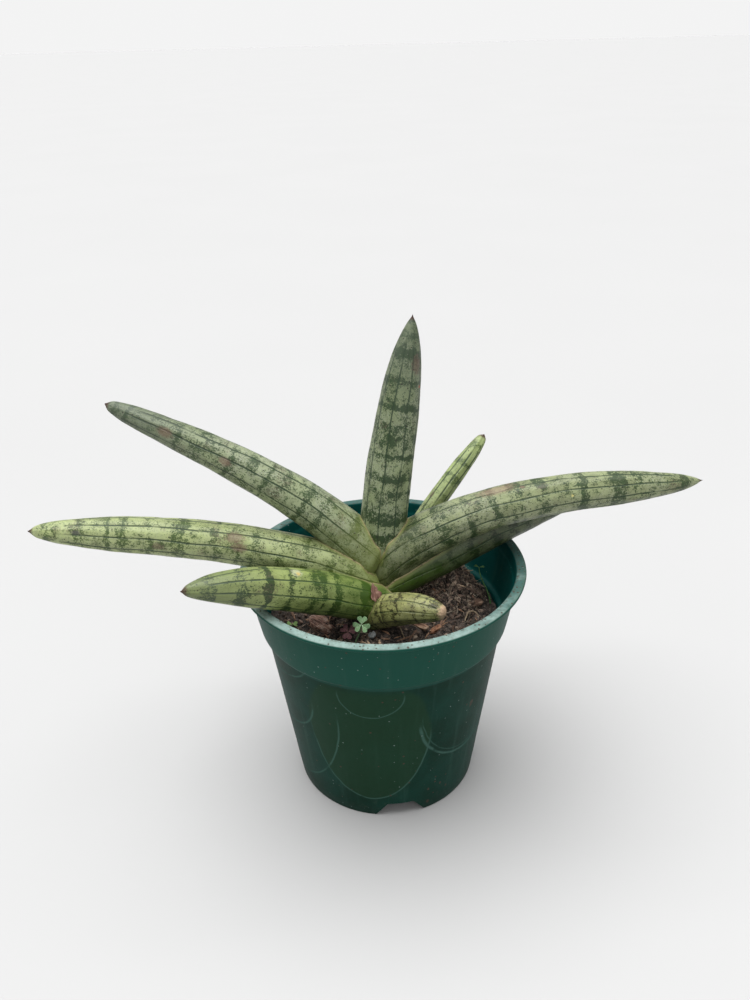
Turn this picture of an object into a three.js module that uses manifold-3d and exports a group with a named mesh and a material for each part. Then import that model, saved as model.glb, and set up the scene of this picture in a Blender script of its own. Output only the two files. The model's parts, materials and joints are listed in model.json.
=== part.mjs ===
// A starfish snake plant with eight cylindrical leaves in a round nursery pot.
// Millimetres, +Z up. The pot stands on z = 0; x runs along the fan of leaves.
import * as THREE from "three";
import { mergeVertices } from "three/addons/utils/BufferGeometryUtils.js";
import Module from "manifold-3d";

const wasm = await Module();
wasm.setup();

// ---- Pot sizes ----
const POT_HEIGHT = 130;
const RIM_RADIUS = 75;
const LIP_OVERHANG = 3.75; // lip past the outside of the collar
const LIP_THICKNESS = 2.2;
const WALL = 1.7;
const COLLAR_HEIGHT = 30.3; // from the rim down to the collar's lower edge
const COLLAR_TAPER = 5.2; // loss of radius down the collar
const COLLAR_STEP = 2.6; // body set in under the collar
const BASE_RADIUS = 49.6;
const FOOT_HEIGHT = 10; // underside of the raised floor
const FOOT_WIDTH = 3; // flat of the foot ring
const FLOOR_THICKNESS = 1.8;
const POT_SIDES = 60;

const NOTCH_COUNT = 3;
const NOTCH_FIRST = 8; // degrees from the front, towards +x
const NOTCH_TOP_WIDTH = 14;
const NOTCH_SLOPE = 6.5; // widening of each side down to the ground
const NOTCH_ROOF = 0.5; // wall left between a notch and the floor

const DRAIN_COUNT = 6;
const DRAIN_RADIUS = 4.5;
const DRAIN_EDGE = 9; // hole centres in from the foot ring's inner side

// ---- Soil ----
const SOIL_DROP = 33; // soil at the wall, below the rim
const SOIL_HUMPS = [
  // x, y, reach, height
  [2, -12, 27, 10],
  [38, 9, 15, 22],
  [-40, 10, 20, 3],
  [20, 40, 24, 4],
];

// ---- What lies and grows on the soil: x, y from the pot's axis ----
const CHIPS = [
  // name, x, y, length, width, thickness, heading, tilt, colour
  ["bark_chip_left", -33, -13, 15, 9, 3.4, -42, 8, 0x5a3a30],
  ["bark_chip_front", 27.5, -19, 12, 3.2, 2.2, 57, 10, 0x8a5a38],
  ["bark_chip_middle", 19, -21.5, 10, 3.6, 2, -38, -6, 0x5c4032],
  ["bark_chip_right", 50, -1, 7.5, 5, 2.6, 20, 12, 0x3b2a26],
  ["bark_chip_back", -22, 34, 14, 7, 3.2, 70, -5, 0x54382c],
];
const CHIP_SINK = 0.9; // how far a chip is pressed into the soil
const ROOTS = [
  // name, x and y pairs along it, arch above the soil, radius
  ["root_left", [-50, -6, -48, -11, -45, -15, -42.5, -21], 1.2, 0.45],
  ["root_middle", [-21, -11, -22, -16, -22.5, -20, -21.5, -23.5], 1.4, 0.45],
  ["root_front", [5.5, -19, 7, -22.5, 9, -25, 10.5, -30], 1.2, 0.5],
  ["root_right", [42, -13.5, 45, -8.5, 49, -8, 52, -13], 2.2, 0.55],
];
const CLOVERS = [
  // name, foot x, y, head x, y, height above the soil, leaflet length, turn, colour
  ["clover_green", -15, -30.5, -11.2, -31.5, 10.5, 4.6, 75, 0x6f8f70],
  ["clover_purple", -20.5, -27.5, -18.2, -29.5, 7, 4.2, 20, 0x553540],
  ["seedling_left", -48.6, -12, -48.4, -13.4, 3.6, 3.2, 0, 0x6fa843],
];
const CLOVER_LEAVES = [3, 3, 2];
const STALK_RADIUS = 0.5;
const STALK_SINK = 1; // depth of a stalk's foot in the soil
// A thin stem by the pot's side: degrees from the front, and off, rise, lean and turn.
const WALL_SEEDLING = { degrees: 95, off: 2.4, rise: 22, lean: 6, turn: 5 };
const SNAIL = { x: -6.4, y: -28.8, radius: 2.5 };
const PEBBLE = { x: -22.6, y: -26.5, radius: 1.5 };
// The scrap lies on a leaf: at this share of the leaf's length, turned off its top line.
const SCRAP = { leaf: "leaf_front_left", at: 0.155, off: -38, length: 8.5, width: 6.5, thickness: 0.7 };

// ---- Clearances ----
const GAP = 0.35; // between pieces that touch

// ---- Leaves, inner to outer ----
// start: x, y and height above the rim; heading: degrees from +x towards the back;
// pitch: degrees above level at the foot, the middle and the tip;
// girth: radius at the stations of GIRTH_AT.
const GIRTH_AT = [0, 0.35, 0.6, 0.8, 0.92, 1];
const LEAVES = [
  {
    name: "leaf_centre_upright",
    start: [0, 4, -10],
    heading: 49,
    sweep: 0,
    pitch: [92, 76, 78],
    length: 139,
    girth: [12.6, 12.1, 11, 8.4, 4.8, 1],
    stem: 28,
    colour: 0x6d7f66,
  },
  {
    name: "leaf_upper_left",
    start: [-1, 0, -2],
    heading: 176,
    sweep: -6,
    pitch: [53, 30, 24],
    length: 165,
    girth: [13, 10.4, 9, 6.8, 4.7, 1],
    stem: 0,
    colour: 0x7f9277,
  },
  {
    name: "leaf_upper_right",
    start: [-3, 0, -3],
    heading: 6,
    sweep: 2,
    pitch: [43, 7, 1],
    length: 183,
    girth: [13.2, 11, 10, 8, 4.8, 1],
    stem: 0,
    colour: 0x84977a,
  },
  {
    name: "leaf_lower_left",
    start: [3, -2, -12],
    heading: 183,
    sweep: 0,
    pitch: [30, 11, 5],
    length: 187,
    girth: [12, 10.6, 10, 8.3, 5.8, 1],
    stem: 0,
    colour: 0x8f9f74,
  },
  {
    name: "leaf_lower_right",
    start: [-3, -2, -12],
    heading: 18,
    sweep: 4,
    pitch: [12.5, 17, -3],
    length: 148,
    girth: [10.8, 10.7, 9.7, 7, 4.2, 1],
    stem: 0,
    colour: 0x56743f,
  },
  {
    name: "leaf_front_left",
    start: [3, -8, -20],
    heading: 209,
    sweep: 0,
    pitch: [27, 24, 10],
    length: 118,
    girth: [10.4, 11.1, 10.5, 8, 5, 1.2],
    stem: 0,
    colour: 0x86994f,
  },
  {
    name: "leaf_front_stub",
    start: [-8, -14, -24],
    heading: -48,
    sweep: 20,
    pitch: [38, 26, -1],
    length: 54,
    girth: [8.4, 8.2, 7.8, 6, 4.2, 2.6],
    stem: 0,
    colour: 0xa5a878,
  },
  {
    name: "leaf_young_right",
    start: [6, 16, -24],
    heading: 38,
    sweep: 0,
    pitch: [72, 42, 43],
    length: 99,
    girth: [5.6, 5.5, 5.3, 4.8, 3.4, 1.1],
    stem: 16,
    colour: 0x8a9a5a,
  },
];
const LEAF_RINGS = 18;
const LEAF_SIDES = 14;

// ---- Shape helpers ----
const polar = (radius, degrees, z) => {
  const a = THREE.MathUtils.degToRad(degrees);
  return new THREE.Vector3(radius * Math.sin(a), -radius * Math.cos(a), z);
};

const smooth = (t) => t * t * (3 - 2 * t);

function toSolid(geometry) {
  const bare = geometry.clone();
  bare.deleteAttribute("normal");
  bare.deleteAttribute("uv");
  const merged = mergeVertices(bare, 1e-3);
  const mesh = new wasm.Mesh({
    numProp: 3,
    vertProperties: new Float32Array(merged.attributes.position.array),
    triVerts: new Uint32Array(merged.index.array),
  });
  return new wasm.Manifold(mesh);
}

function toGeometry(solid) {
  const mesh = solid.getMesh();
  const geometry = new THREE.BufferGeometry();
  const positions = new THREE.BufferAttribute(new Float32Array(mesh.vertProperties), 3);
  geometry.setAttribute("position", positions);
  geometry.setIndex(new THREE.BufferAttribute(new Uint32Array(mesh.triVerts), 1));
  const flat = geometry.toNonIndexed();
  flat.computeVertexNormals();
  return flat;
}

// The largest connected body of a geometry: what a cut leaves beside it is waste.
function largestBody(geometry) {
  const merged = mergeVertices(toBare(geometry), 1e-3);
  const index = merged.index.array;
  const owner = Array.from({ length: merged.attributes.position.count }, (_, i) => i);
  const find = (i) => {
    while (owner[i] !== i) {
      owner[i] = owner[owner[i]];
      i = owner[i];
    }
    return i;
  };
  for (let i = 0; i < index.length; i += 3) {
    owner[find(index[i + 1])] = find(index[i]);
    owner[find(index[i + 2])] = find(index[i]);
  }
  const count = new Map();
  for (const i of index) count.set(find(i), (count.get(find(i)) ?? 0) + 1);
  const [best] = [...count.entries()].sort((a, b) => b[1] - a[1])[0];
  const kept = [];
  for (let i = 0; i < index.length; i += 3) {
    if (find(index[i]) === best) kept.push(index[i], index[i + 1], index[i + 2]);
  }
  merged.setIndex(kept);
  return merged.toNonIndexed();
}

function toBare(geometry) {
  const bare = geometry.clone();
  bare.deleteAttribute("normal");
  bare.deleteAttribute("uv");
  return bare;
}

// A closed solid of revolution; the profile runs up the outside, from axis to axis.
function revolve(profile, sides) {
  const points = profile.map(([r, z]) => new THREE.Vector2(r, z));
  const geometry = new THREE.LatheGeometry(points, sides);
  geometry.rotateX(Math.PI / 2);
  return geometry;
}

// The way a line runs at each of its points.
function waysAlong(points) {
  const last = points.length - 1;
  return points.map((_, i) => {
    const after = points[Math.min(i + 1, last)].clone();
    return after.sub(points[Math.max(i - 1, 0)]).normalize();
  });
}

// A closed tube through points, each with its own radius; extra swells it all round.
function taperedTube(line, girths, sides, extra = 0, lineWays = waysAlong(line)) {
  const points = line.map((point) => point.clone());
  const radii = girths.map((girth) => girth + extra);
  const ways = [...lineWays];
  if (extra > 0) {
    points.unshift(points[0].clone().addScaledVector(ways[0], -extra));
    points.push(points.at(-1).clone().addScaledVector(ways.at(-1), extra));
    radii.unshift(radii[0]);
    radii.push(radii.at(-1));
    ways.unshift(ways[0]);
    ways.push(ways.at(-1));
  }
  const count = points.length;
  const positions = [];
  const index = [];
  let side = null;
  points.forEach((point, i) => {
    const along = ways[i];
    if (side === null) {
      const guide = Math.abs(along.z) < 0.9 ? new THREE.Vector3(0, 0, 1) : new THREE.Vector3(0, 1, 0);
      side = new THREE.Vector3().crossVectors(guide, along).normalize();
    }
    side.addScaledVector(along, -side.dot(along)).normalize();
    const up = new THREE.Vector3().crossVectors(along, side);
    for (let j = 0; j < sides; j += 1) {
      const a = (2 * Math.PI * j) / sides;
      const p = point.clone();
      p.addScaledVector(side, radii[i] * Math.cos(a));
      p.addScaledVector(up, radii[i] * Math.sin(a));
      positions.push(p.x, p.y, p.z);
    }
  });
  for (let i = 0; i < count - 1; i += 1) {
    for (let j = 0; j < sides; j += 1) {
      const a = i * sides + j;
      const b = i * sides + ((j + 1) % sides);
      index.push(a, b, b + sides, a, b + sides, a + sides);
    }
  }
  const first = positions.length / 3;
  positions.push(...points[0].toArray(), ...points[count - 1].toArray());
  for (let j = 0; j < sides; j += 1) {
    const next = (j + 1) % sides;
    index.push(first, next, j);
    index.push(first + 1, (count - 1) * sides + j, (count - 1) * sides + next);
  }
  const geometry = new THREE.BufferGeometry();
  geometry.setAttribute("position", new THREE.Float32BufferAttribute(positions, 3));
  geometry.setIndex(index);
  return geometry;
}

// ---- Pot ----
const COLLAR_TOP_RADIUS = RIM_RADIUS - LIP_OVERHANG;
const COLLAR_FOOT_RADIUS = COLLAR_TOP_RADIUS - COLLAR_TAPER;
const COLLAR_FOOT = POT_HEIGHT - COLLAR_HEIGHT;
const BODY_TOP_RADIUS = COLLAR_FOOT_RADIUS - COLLAR_STEP;
const FLOOR_TOP = FOOT_HEIGHT + FLOOR_THICKNESS;

// Radius of the body's outside at height z, below the collar.
const bodyRadius = (z) => BASE_RADIUS + ((BODY_TOP_RADIUS - BASE_RADIUS) * z) / COLLAR_FOOT;

// The pot's inside, from the floor's centre up to the rim, moved in by a gap.
function insideProfile(gap) {
  return [
    [0, FLOOR_TOP + gap],
    [bodyRadius(FLOOR_TOP) - WALL - gap, FLOOR_TOP + gap],
    [BODY_TOP_RADIUS - WALL - gap, COLLAR_FOOT + gap],
    [COLLAR_FOOT_RADIUS - WALL - gap, COLLAR_FOOT + WALL + gap],
    [COLLAR_TOP_RADIUS - WALL - gap, POT_HEIGHT],
  ];
}

function potGeometry() {
  const outside = [
    [0, FOOT_HEIGHT],
    [bodyRadius(0) - FOOT_WIDTH, FOOT_HEIGHT],
    [bodyRadius(0) - FOOT_WIDTH, 0],
    [bodyRadius(0), 0],
    [BODY_TOP_RADIUS, COLLAR_FOOT - COLLAR_STEP / 2],
    [COLLAR_FOOT_RADIUS, COLLAR_FOOT],
    [COLLAR_TOP_RADIUS, POT_HEIGHT - LIP_THICKNESS],
    [RIM_RADIUS, POT_HEIGHT - LIP_THICKNESS],
    [RIM_RADIUS, POT_HEIGHT],
  ];
  const profile = [...outside, ...insideProfile(0).reverse()];
  let solid = toSolid(revolve(profile, POT_SIDES));
  for (let i = 0; i < NOTCH_COUNT; i += 1) {
    solid = solid.subtract(toSolid(notchGeometry(NOTCH_FIRST + (360 * i) / NOTCH_COUNT)));
  }
  for (let i = 0; i < DRAIN_COUNT; i += 1) {
    solid = solid.subtract(toSolid(drainGeometry((360 * i) / DRAIN_COUNT)));
  }
  return toGeometry(solid);
}

// A wedge through the foot ring, wider at the ground.
function notchGeometry(degrees) {
  const top = FOOT_HEIGHT - NOTCH_ROOF;
  const below = 2;
  const half = NOTCH_TOP_WIDTH / 2;
  const reach = half + (NOTCH_SLOPE * (top + below)) / top;
  const shape = new THREE.Shape();
  shape.moveTo(-reach, -below);
  shape.lineTo(reach, -below);
  shape.lineTo(half, top);
  shape.lineTo(-half, top);
  shape.closePath();
  const depth = FOOT_WIDTH + WALL + 12;
  const geometry = new THREE.ExtrudeGeometry(shape, { depth, bevelEnabled: false });
  geometry.rotateX(Math.PI / 2);
  geometry.translate(0, -BASE_RADIUS + FOOT_WIDTH + 6, 0);
  geometry.rotateZ(THREE.MathUtils.degToRad(degrees));
  return geometry;
}

function drainGeometry(degrees) {
  const geometry = new THREE.CylinderGeometry(DRAIN_RADIUS, DRAIN_RADIUS, 3 * FLOOR_THICKNESS, 12);
  geometry.rotateX(Math.PI / 2);
  const ring = BASE_RADIUS - FOOT_WIDTH - DRAIN_EDGE;
  const at = polar(ring, degrees, FOOT_HEIGHT + FLOOR_THICKNESS / 2);
  geometry.translate(at.x, at.y, at.z);
  return geometry;
}

// ---- Leaves ----
const interpolate = (stations, values, s) => {
  let i = 1;
  while (i < stations.length - 1 && s > stations[i]) i += 1;
  const t = (s - stations[i - 1]) / (stations[i] - stations[i - 1]);
  return THREE.MathUtils.lerp(values[i - 1], values[i], t);
};

// Points down the middle of a leaf, from its foot to its tip.
function leafCentreline(leaf) {
  const steps = 90;
  const [foot, middle, tip] = leaf.pitch;
  const at = new THREE.Vector3(...leaf.start);
  at.z += POT_HEIGHT;
  const points = [at.clone()];
  for (let i = 0; i < steps; i += 1) {
    const t = (i + 0.5) / steps;
    const curve = foot * (1 - t) * (1 - 2 * t) + middle * 4 * t * (1 - t) + tip * t * (2 * t - 1);
    const pitch = THREE.MathUtils.degToRad(curve);
    const heading = THREE.MathUtils.degToRad(leaf.heading + leaf.sweep * t);
    const level = Math.cos(pitch);
    const way = new THREE.Vector3(level * Math.cos(heading), level * Math.sin(heading), Math.sin(pitch));
    at.addScaledVector(way, leaf.length / steps);
    points.push(at.clone());
  }
  return points;
}

// How far a leaf has to rise for its underside to clear the pot's rim.
function rimLift(leaf, line) {
  const innerRim = COLLAR_TOP_RADIUS - WALL;
  const count = line.length - 1;
  let lift = 0;
  line.forEach((point, i) => {
    const way = line[Math.min(i + 1, count)].clone().sub(line[Math.max(i - 1, 0)]).normalize();
    const girth = interpolate(GIRTH_AT, leaf.girth, i / count);
    const underside = Math.hypot(point.x, point.y) + girth * way.z;
    if (underside < innerRim || underside > RIM_RADIUS) return;
    lift = Math.max(lift, POT_HEIGHT + GAP + girth * Math.hypot(way.x, way.y) - point.z);
  });
  return lift;
}

// The leaf's middle line where the leaf really lies, over the rim or clear of it.
function seatedLine(leaf) {
  const line = leafCentreline(leaf);
  const lift = rimLift(leaf, line);
  for (const point of line) point.z += lift;
  return line;
}

function leafGeometry(leaf, extra) {
  const line = seatedLine(leaf);
  const lineWays = waysAlong(line);
  const points = [];
  const girths = [];
  const ways = [];
  if (leaf.stem > 0) {
    const foot = line[0].clone();
    foot.z -= leaf.stem;
    points.push(foot);
    girths.push(leaf.girth[0] * 0.9);
    ways.push(lineWays[0]);
  }
  for (let i = 0; i <= LEAF_RINGS; i += 1) {
    const s = 1 - (1 - i / LEAF_RINGS) ** 1.35;
    const k = Math.round(s * (line.length - 1));
    points.push(line[k]);
    ways.push(lineWays[k]);
    girths.push(interpolate(GIRTH_AT, leaf.girth, s));
  }
  return taperedTube(points, girths, LEAF_SIDES, extra, ways);
}

// ---- Soil ----
function soilHeight(x, y) {
  let z = POT_HEIGHT - SOIL_DROP;
  for (const [hx, hy, reach, height] of SOIL_HUMPS) {
    const d = Math.hypot(x - hx, y - hy) / reach;
    z += height * Math.exp(-d * d);
  }
  z += 0.9 * Math.sin(x * 0.31 + 1.3) * Math.cos(y * 0.27);
  z += 0.6 * Math.sin(x * 0.55 - y * 0.43 + 0.4);
  return z;
}

// A round block whose top is the soil's surface.
function soilBlock(radius) {
  const rings = 14;
  const sides = 40;
  const positions = [0, 0, soilHeight(0, 0), 0, 0, 0];
  const index = [];
  for (let i = 1; i <= rings; i += 1) {
    for (let j = 0; j < sides; j += 1) {
      const a = (2 * Math.PI * j) / sides;
      const x = ((radius * i) / rings) * Math.cos(a);
      const y = ((radius * i) / rings) * Math.sin(a);
      positions.push(x, y, soilHeight(x, y));
    }
  }
  const base = positions.length / 3;
  for (let j = 0; j < sides; j += 1) {
    const a = (2 * Math.PI * j) / sides;
    positions.push(radius * Math.cos(a), radius * Math.sin(a), 0);
  }
  const at = (ring, j) => (ring === 0 ? 0 : 2 + (ring - 1) * sides + (j % sides));
  for (let j = 0; j < sides; j += 1) {
    index.push(0, at(1, j), at(1, j + 1));
    for (let i = 1; i < rings; i += 1) {
      index.push(at(i, j), at(i + 1, j), at(i + 1, j + 1));
      index.push(at(i, j), at(i + 1, j + 1), at(i, j + 1));
    }
    const next = (j + 1) % sides;
    index.push(at(rings, j), base + j, base + next);
    index.push(at(rings, j), base + next, at(rings, j + 1));
    index.push(1, base + next, base + j);
  }
  const geometry = new THREE.BufferGeometry();
  geometry.setAttribute("position", new THREE.Float32BufferAttribute(positions, 3));
  geometry.setIndex(index);
  return geometry;
}

function soilSolid() {
  const inside = insideProfile(GAP);
  const top = inside[inside.length - 1];
  const cavity = toSolid(revolve([...inside, [0, top[1]]], POT_SIDES));
  return cavity.intersect(toSolid(soilBlock(RIM_RADIUS)));
}

// ---- Litter and weeds on the soil ----
function stretched(geometry, x, y, z) {
  geometry.scale(x, y, z);
  return geometry;
}

// A flat splinter with worn corners, lying on the soil.
function chipGeometry([, x, y, length, width, thickness, heading, tilt], extra) {
  const shape = new THREE.Shape();
  const half = length / 2 + extra;
  const side = width / 2 + extra;
  shape.moveTo(-half, -side * 0.4);
  shape.lineTo(-half * 0.7, -side);
  shape.lineTo(half * 0.6, -side * 0.8);
  shape.lineTo(half, -side * 0.1);
  shape.lineTo(half * 0.8, side * 0.7);
  shape.lineTo(-half * 0.3, side);
  shape.lineTo(-half * 0.9, side * 0.6);
  shape.closePath();
  const depth = thickness + 2 * extra;
  const geometry = new THREE.ExtrudeGeometry(shape, { depth, bevelEnabled: false });
  geometry.translate(0, 0, -depth / 2);
  geometry.rotateY(THREE.MathUtils.degToRad(tilt));
  geometry.rotateZ(THREE.MathUtils.degToRad(heading));
  geometry.translate(x, y, soilHeight(x, y) + thickness / 2 - CHIP_SINK);
  return geometry;
}

// A root that arches over the soil with both ends in it.
function rootGeometry([, track, arch, radius], extra) {
  const count = track.length / 2;
  const points = [];
  for (let i = 0; i < count; i += 1) {
    const x = track[2 * i];
    const y = track[2 * i + 1];
    const ends = i === 0 || i === count - 1;
    const z = soilHeight(x, y) + (ends ? -1.5 * radius : arch);
    points.push(new THREE.Vector3(x, y, z));
  }
  const line = new THREE.CatmullRomCurve3(points).getPoints(8);
  return taperedTube(line, line.map(() => radius), 6, extra);
}

// A weed's stalk, from in the soil up to its leaflets.
function stalkLine([, footX, footY, headX, headY, rise]) {
  const head = new THREE.Vector3(headX, headY, soilHeight(headX, headY) + rise);
  const foot = new THREE.Vector3(footX, footY, soilHeight(footX, footY) - STALK_SINK);
  const middle = new THREE.Vector3().lerpVectors(foot, head, 0.5);
  middle.y += 0.4;
  return [foot, middle, head];
}

function stalkGeometry(line, extra) {
  return taperedTube(line, line.map(() => STALK_RADIUS), 6, extra);
}

function cloverSolid(clover, leaflets) {
  const [, , , , , , size, turn] = clover;
  const line = stalkLine(clover);
  const head = line[2];
  let solid = toSolid(stalkGeometry(line, 0));
  for (let i = 0; i < leaflets; i += 1) {
    const leaflet = stretched(new THREE.SphereGeometry(1, 10, 6), size / 2 + 0.4, size * 0.44, 0.5);
    leaflet.translate(size / 2, 0, 0);
    leaflet.rotateY(-0.12);
    leaflet.rotateZ(THREE.MathUtils.degToRad(turn + (360 * i) / leaflets));
    leaflet.rotateX(0.35);
    leaflet.translate(head.x, head.y, head.z);
    solid = solid.add(toSolid(leaflet));
  }
  return solid;
}

// A thin stem that leans on the inside of the pot, with two seed leaves.
function wallSeedlingSolid(line) {
  const solid = toSolid(stalkGeometry(line, 0));
  const head = line[line.length - 1];
  const leaf = stretched(new THREE.SphereGeometry(1, 8, 6), 2.2, 1, 0.5);
  leaf.translate(head.x - 2, head.y, head.z);
  return solid.add(toSolid(leaf));
}

function wallSeedlingLine() {
  const { degrees, off, rise, lean, turn } = WALL_SEEDLING;
  const radius = BODY_TOP_RADIUS - WALL - STALK_RADIUS - off;
  const foot = polar(radius, degrees, 0);
  const ground = soilHeight(foot.x, foot.y) - STALK_SINK;
  const line = [];
  for (let i = 0; i <= 5; i += 1) {
    line.push(polar(radius - lean * smooth(i / 5), degrees + (turn * i) / 5, ground + (rise * i) / 5));
  }
  return line;
}

function snailGeometry(extra) {
  const r = SNAIL.radius + extra;
  const shell = stretched(new THREE.SphereGeometry(1, 14, 10), r, r * 0.9, r * 0.8);
  shell.translate(SNAIL.x, SNAIL.y, soilHeight(SNAIL.x, SNAIL.y) + SNAIL.radius * 0.7);
  return shell;
}

function pebbleGeometry(extra) {
  const r = PEBBLE.radius + extra;
  const pebble = stretched(new THREE.SphereGeometry(1, 10, 7), r, r * 0.8, r * 0.7);
  pebble.translate(PEBBLE.x, PEBBLE.y, soilHeight(PEBBLE.x, PEBBLE.y) + PEBBLE.radius * 0.4);
  return pebble;
}

// A dry scrap of leaf, lying where the two front leaves meet.
function scrapGeometry() {
  const leaf = LEAVES.find(({ name }) => name === SCRAP.leaf);
  const line = seatedLine(leaf);
  const i = Math.round(SCRAP.at * (line.length - 1));
  const way = line[i + 1].clone().sub(line[i - 1]).normalize();
  const across = new THREE.Vector3().crossVectors(new THREE.Vector3(0, 0, 1), way).normalize();
  const out = new THREE.Vector3().crossVectors(way, across);
  out.applyAxisAngle(way, THREE.MathUtils.degToRad(SCRAP.off));
  const height = interpolate(GIRTH_AT, leaf.girth, SCRAP.at) + GAP;

  const shape = new THREE.Shape();
  const l = SCRAP.length / 2;
  const w = SCRAP.width / 2;
  shape.moveTo(-l, -w * 0.5);
  shape.lineTo(-l * 0.1, -w);
  shape.lineTo(l * 0.9, -w * 0.7);
  shape.lineTo(l, w * 0.3);
  shape.lineTo(l * 0.2, w);
  shape.lineTo(-l * 0.6, w * 0.8);
  shape.closePath();
  const geometry = new THREE.ExtrudeGeometry(shape, { depth: SCRAP.thickness, bevelEnabled: false });
  const turn = new THREE.Quaternion().setFromUnitVectors(new THREE.Vector3(0, 0, 1), out);
  geometry.applyQuaternion(turn);
  const seat = line[i].clone().addScaledVector(out, height);
  geometry.translate(seat.x, seat.y, seat.z);
  return geometry;
}

// ---- Assembly ----
const plant = new THREE.Group();

function addPiece(name, geometry, colour, roughness) {
  const material = new THREE.MeshStandardMaterial({ color: colour, roughness, metalness: 0 });
  const mesh = new THREE.Mesh(geometry, material);
  mesh.name = name;
  plant.add(mesh);
  return mesh;
}

addPiece("pot", potGeometry(), 0x1f4a42, 0.45);

const grown = [];
let soil = soilSolid();
for (const leaf of LEAVES) {
  let solid = toSolid(leafGeometry(leaf, 0));
  for (const inner of grown) solid = solid.subtract(inner);
  addPiece(leaf.name, largestBody(toGeometry(solid)), leaf.colour, 0.55);
  const swollen = toSolid(leafGeometry(leaf, GAP));
  grown.push(swollen);
  soil = soil.subtract(swollen);
}

for (const chip of CHIPS) {
  addPiece(chip[0], chipGeometry(chip, 0), chip[8], 0.85);
  soil = soil.subtract(toSolid(chipGeometry(chip, GAP)));
}
for (const root of ROOTS) {
  addPiece(root[0], rootGeometry(root, 0), 0xa8957c, 0.8);
  soil = soil.subtract(toSolid(rootGeometry(root, GAP)));
}
CLOVERS.forEach((clover, i) => {
  addPiece(clover[0], toGeometry(cloverSolid(clover, CLOVER_LEAVES[i])), clover[8], 0.6);
  soil = soil.subtract(toSolid(stalkGeometry(stalkLine(clover), GAP)));
});
addPiece("seedling_wall", toGeometry(wallSeedlingSolid(wallSeedlingLine())), 0x6f8b4a, 0.6);
soil = soil.subtract(toSolid(stalkGeometry(wallSeedlingLine(), GAP)));
addPiece("snail_shell", snailGeometry(0), 0x8f9296, 0.5);
soil = soil.subtract(toSolid(snailGeometry(GAP)));
addPiece("pebble", pebbleGeometry(0), 0x9a8468, 0.8);
soil = soil.subtract(toSolid(pebbleGeometry(GAP)));
addPiece("dry_leaf_scrap", scrapGeometry(), 0x7d4f43, 0.8);
addPiece("soil", largestBody(toGeometry(soil)), 0x3a2a22, 0.95);

// The origin is on the ground, under the middle of the whole outline.
const outline = new THREE.Box3().setFromObject(plant);
const middle = outline.getCenter(new THREE.Vector3());
plant.position.set(-middle.x, -middle.y, -outline.min.z);

export default plant;
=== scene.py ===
# %% [markdown]
# # A starfish snake plant in a nursery pot
# This lesson finishes a potted plant in Blender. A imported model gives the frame: the size and
# the place of every piece. Each visible surface is then made again here, finer, on top of it.
# Everything is in metres, and the plant stands on the ground at z = 0.

import json
import math
import random

import bmesh
import bpy
from mathutils import Matrix, Vector, noise
from mathutils.bvhtree import BVHTree

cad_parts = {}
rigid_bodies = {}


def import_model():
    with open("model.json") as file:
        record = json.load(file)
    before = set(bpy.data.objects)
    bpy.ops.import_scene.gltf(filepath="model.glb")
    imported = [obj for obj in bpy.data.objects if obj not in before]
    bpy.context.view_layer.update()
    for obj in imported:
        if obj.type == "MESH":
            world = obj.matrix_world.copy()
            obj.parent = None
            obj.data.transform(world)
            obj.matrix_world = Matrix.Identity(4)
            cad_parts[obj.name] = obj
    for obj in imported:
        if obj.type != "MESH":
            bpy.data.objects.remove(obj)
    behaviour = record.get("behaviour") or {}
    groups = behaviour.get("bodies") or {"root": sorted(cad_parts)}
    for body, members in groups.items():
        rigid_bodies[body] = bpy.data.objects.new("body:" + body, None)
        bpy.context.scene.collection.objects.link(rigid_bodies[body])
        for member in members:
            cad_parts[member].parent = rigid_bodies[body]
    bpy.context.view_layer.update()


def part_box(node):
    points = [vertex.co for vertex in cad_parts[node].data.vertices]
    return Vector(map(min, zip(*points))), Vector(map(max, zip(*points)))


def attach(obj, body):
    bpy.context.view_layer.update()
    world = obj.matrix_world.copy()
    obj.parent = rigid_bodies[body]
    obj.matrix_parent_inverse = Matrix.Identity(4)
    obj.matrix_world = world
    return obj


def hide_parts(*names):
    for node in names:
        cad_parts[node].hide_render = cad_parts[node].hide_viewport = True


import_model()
MM = 0.001
MM_PER_METRE = 1000.0
pot_low, pot_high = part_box("pot")
POT_X = (pot_low[0] + pot_high[0]) / 2
POT_Y = (pot_low[1] + pot_high[1]) / 2
RIM_Z = pot_high[2]
print("pot axis at", round(POT_X, 5), round(POT_Y, 5), "rim at", round(RIM_Z, 5))

# %% [markdown]
# ## Wiring nodes
# Materials and Geometry Nodes are both trees of small nodes. A short helper that adds a node,
# feeds its inputs and hands back its output keeps each recipe readable as a few lines of sums.


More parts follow.
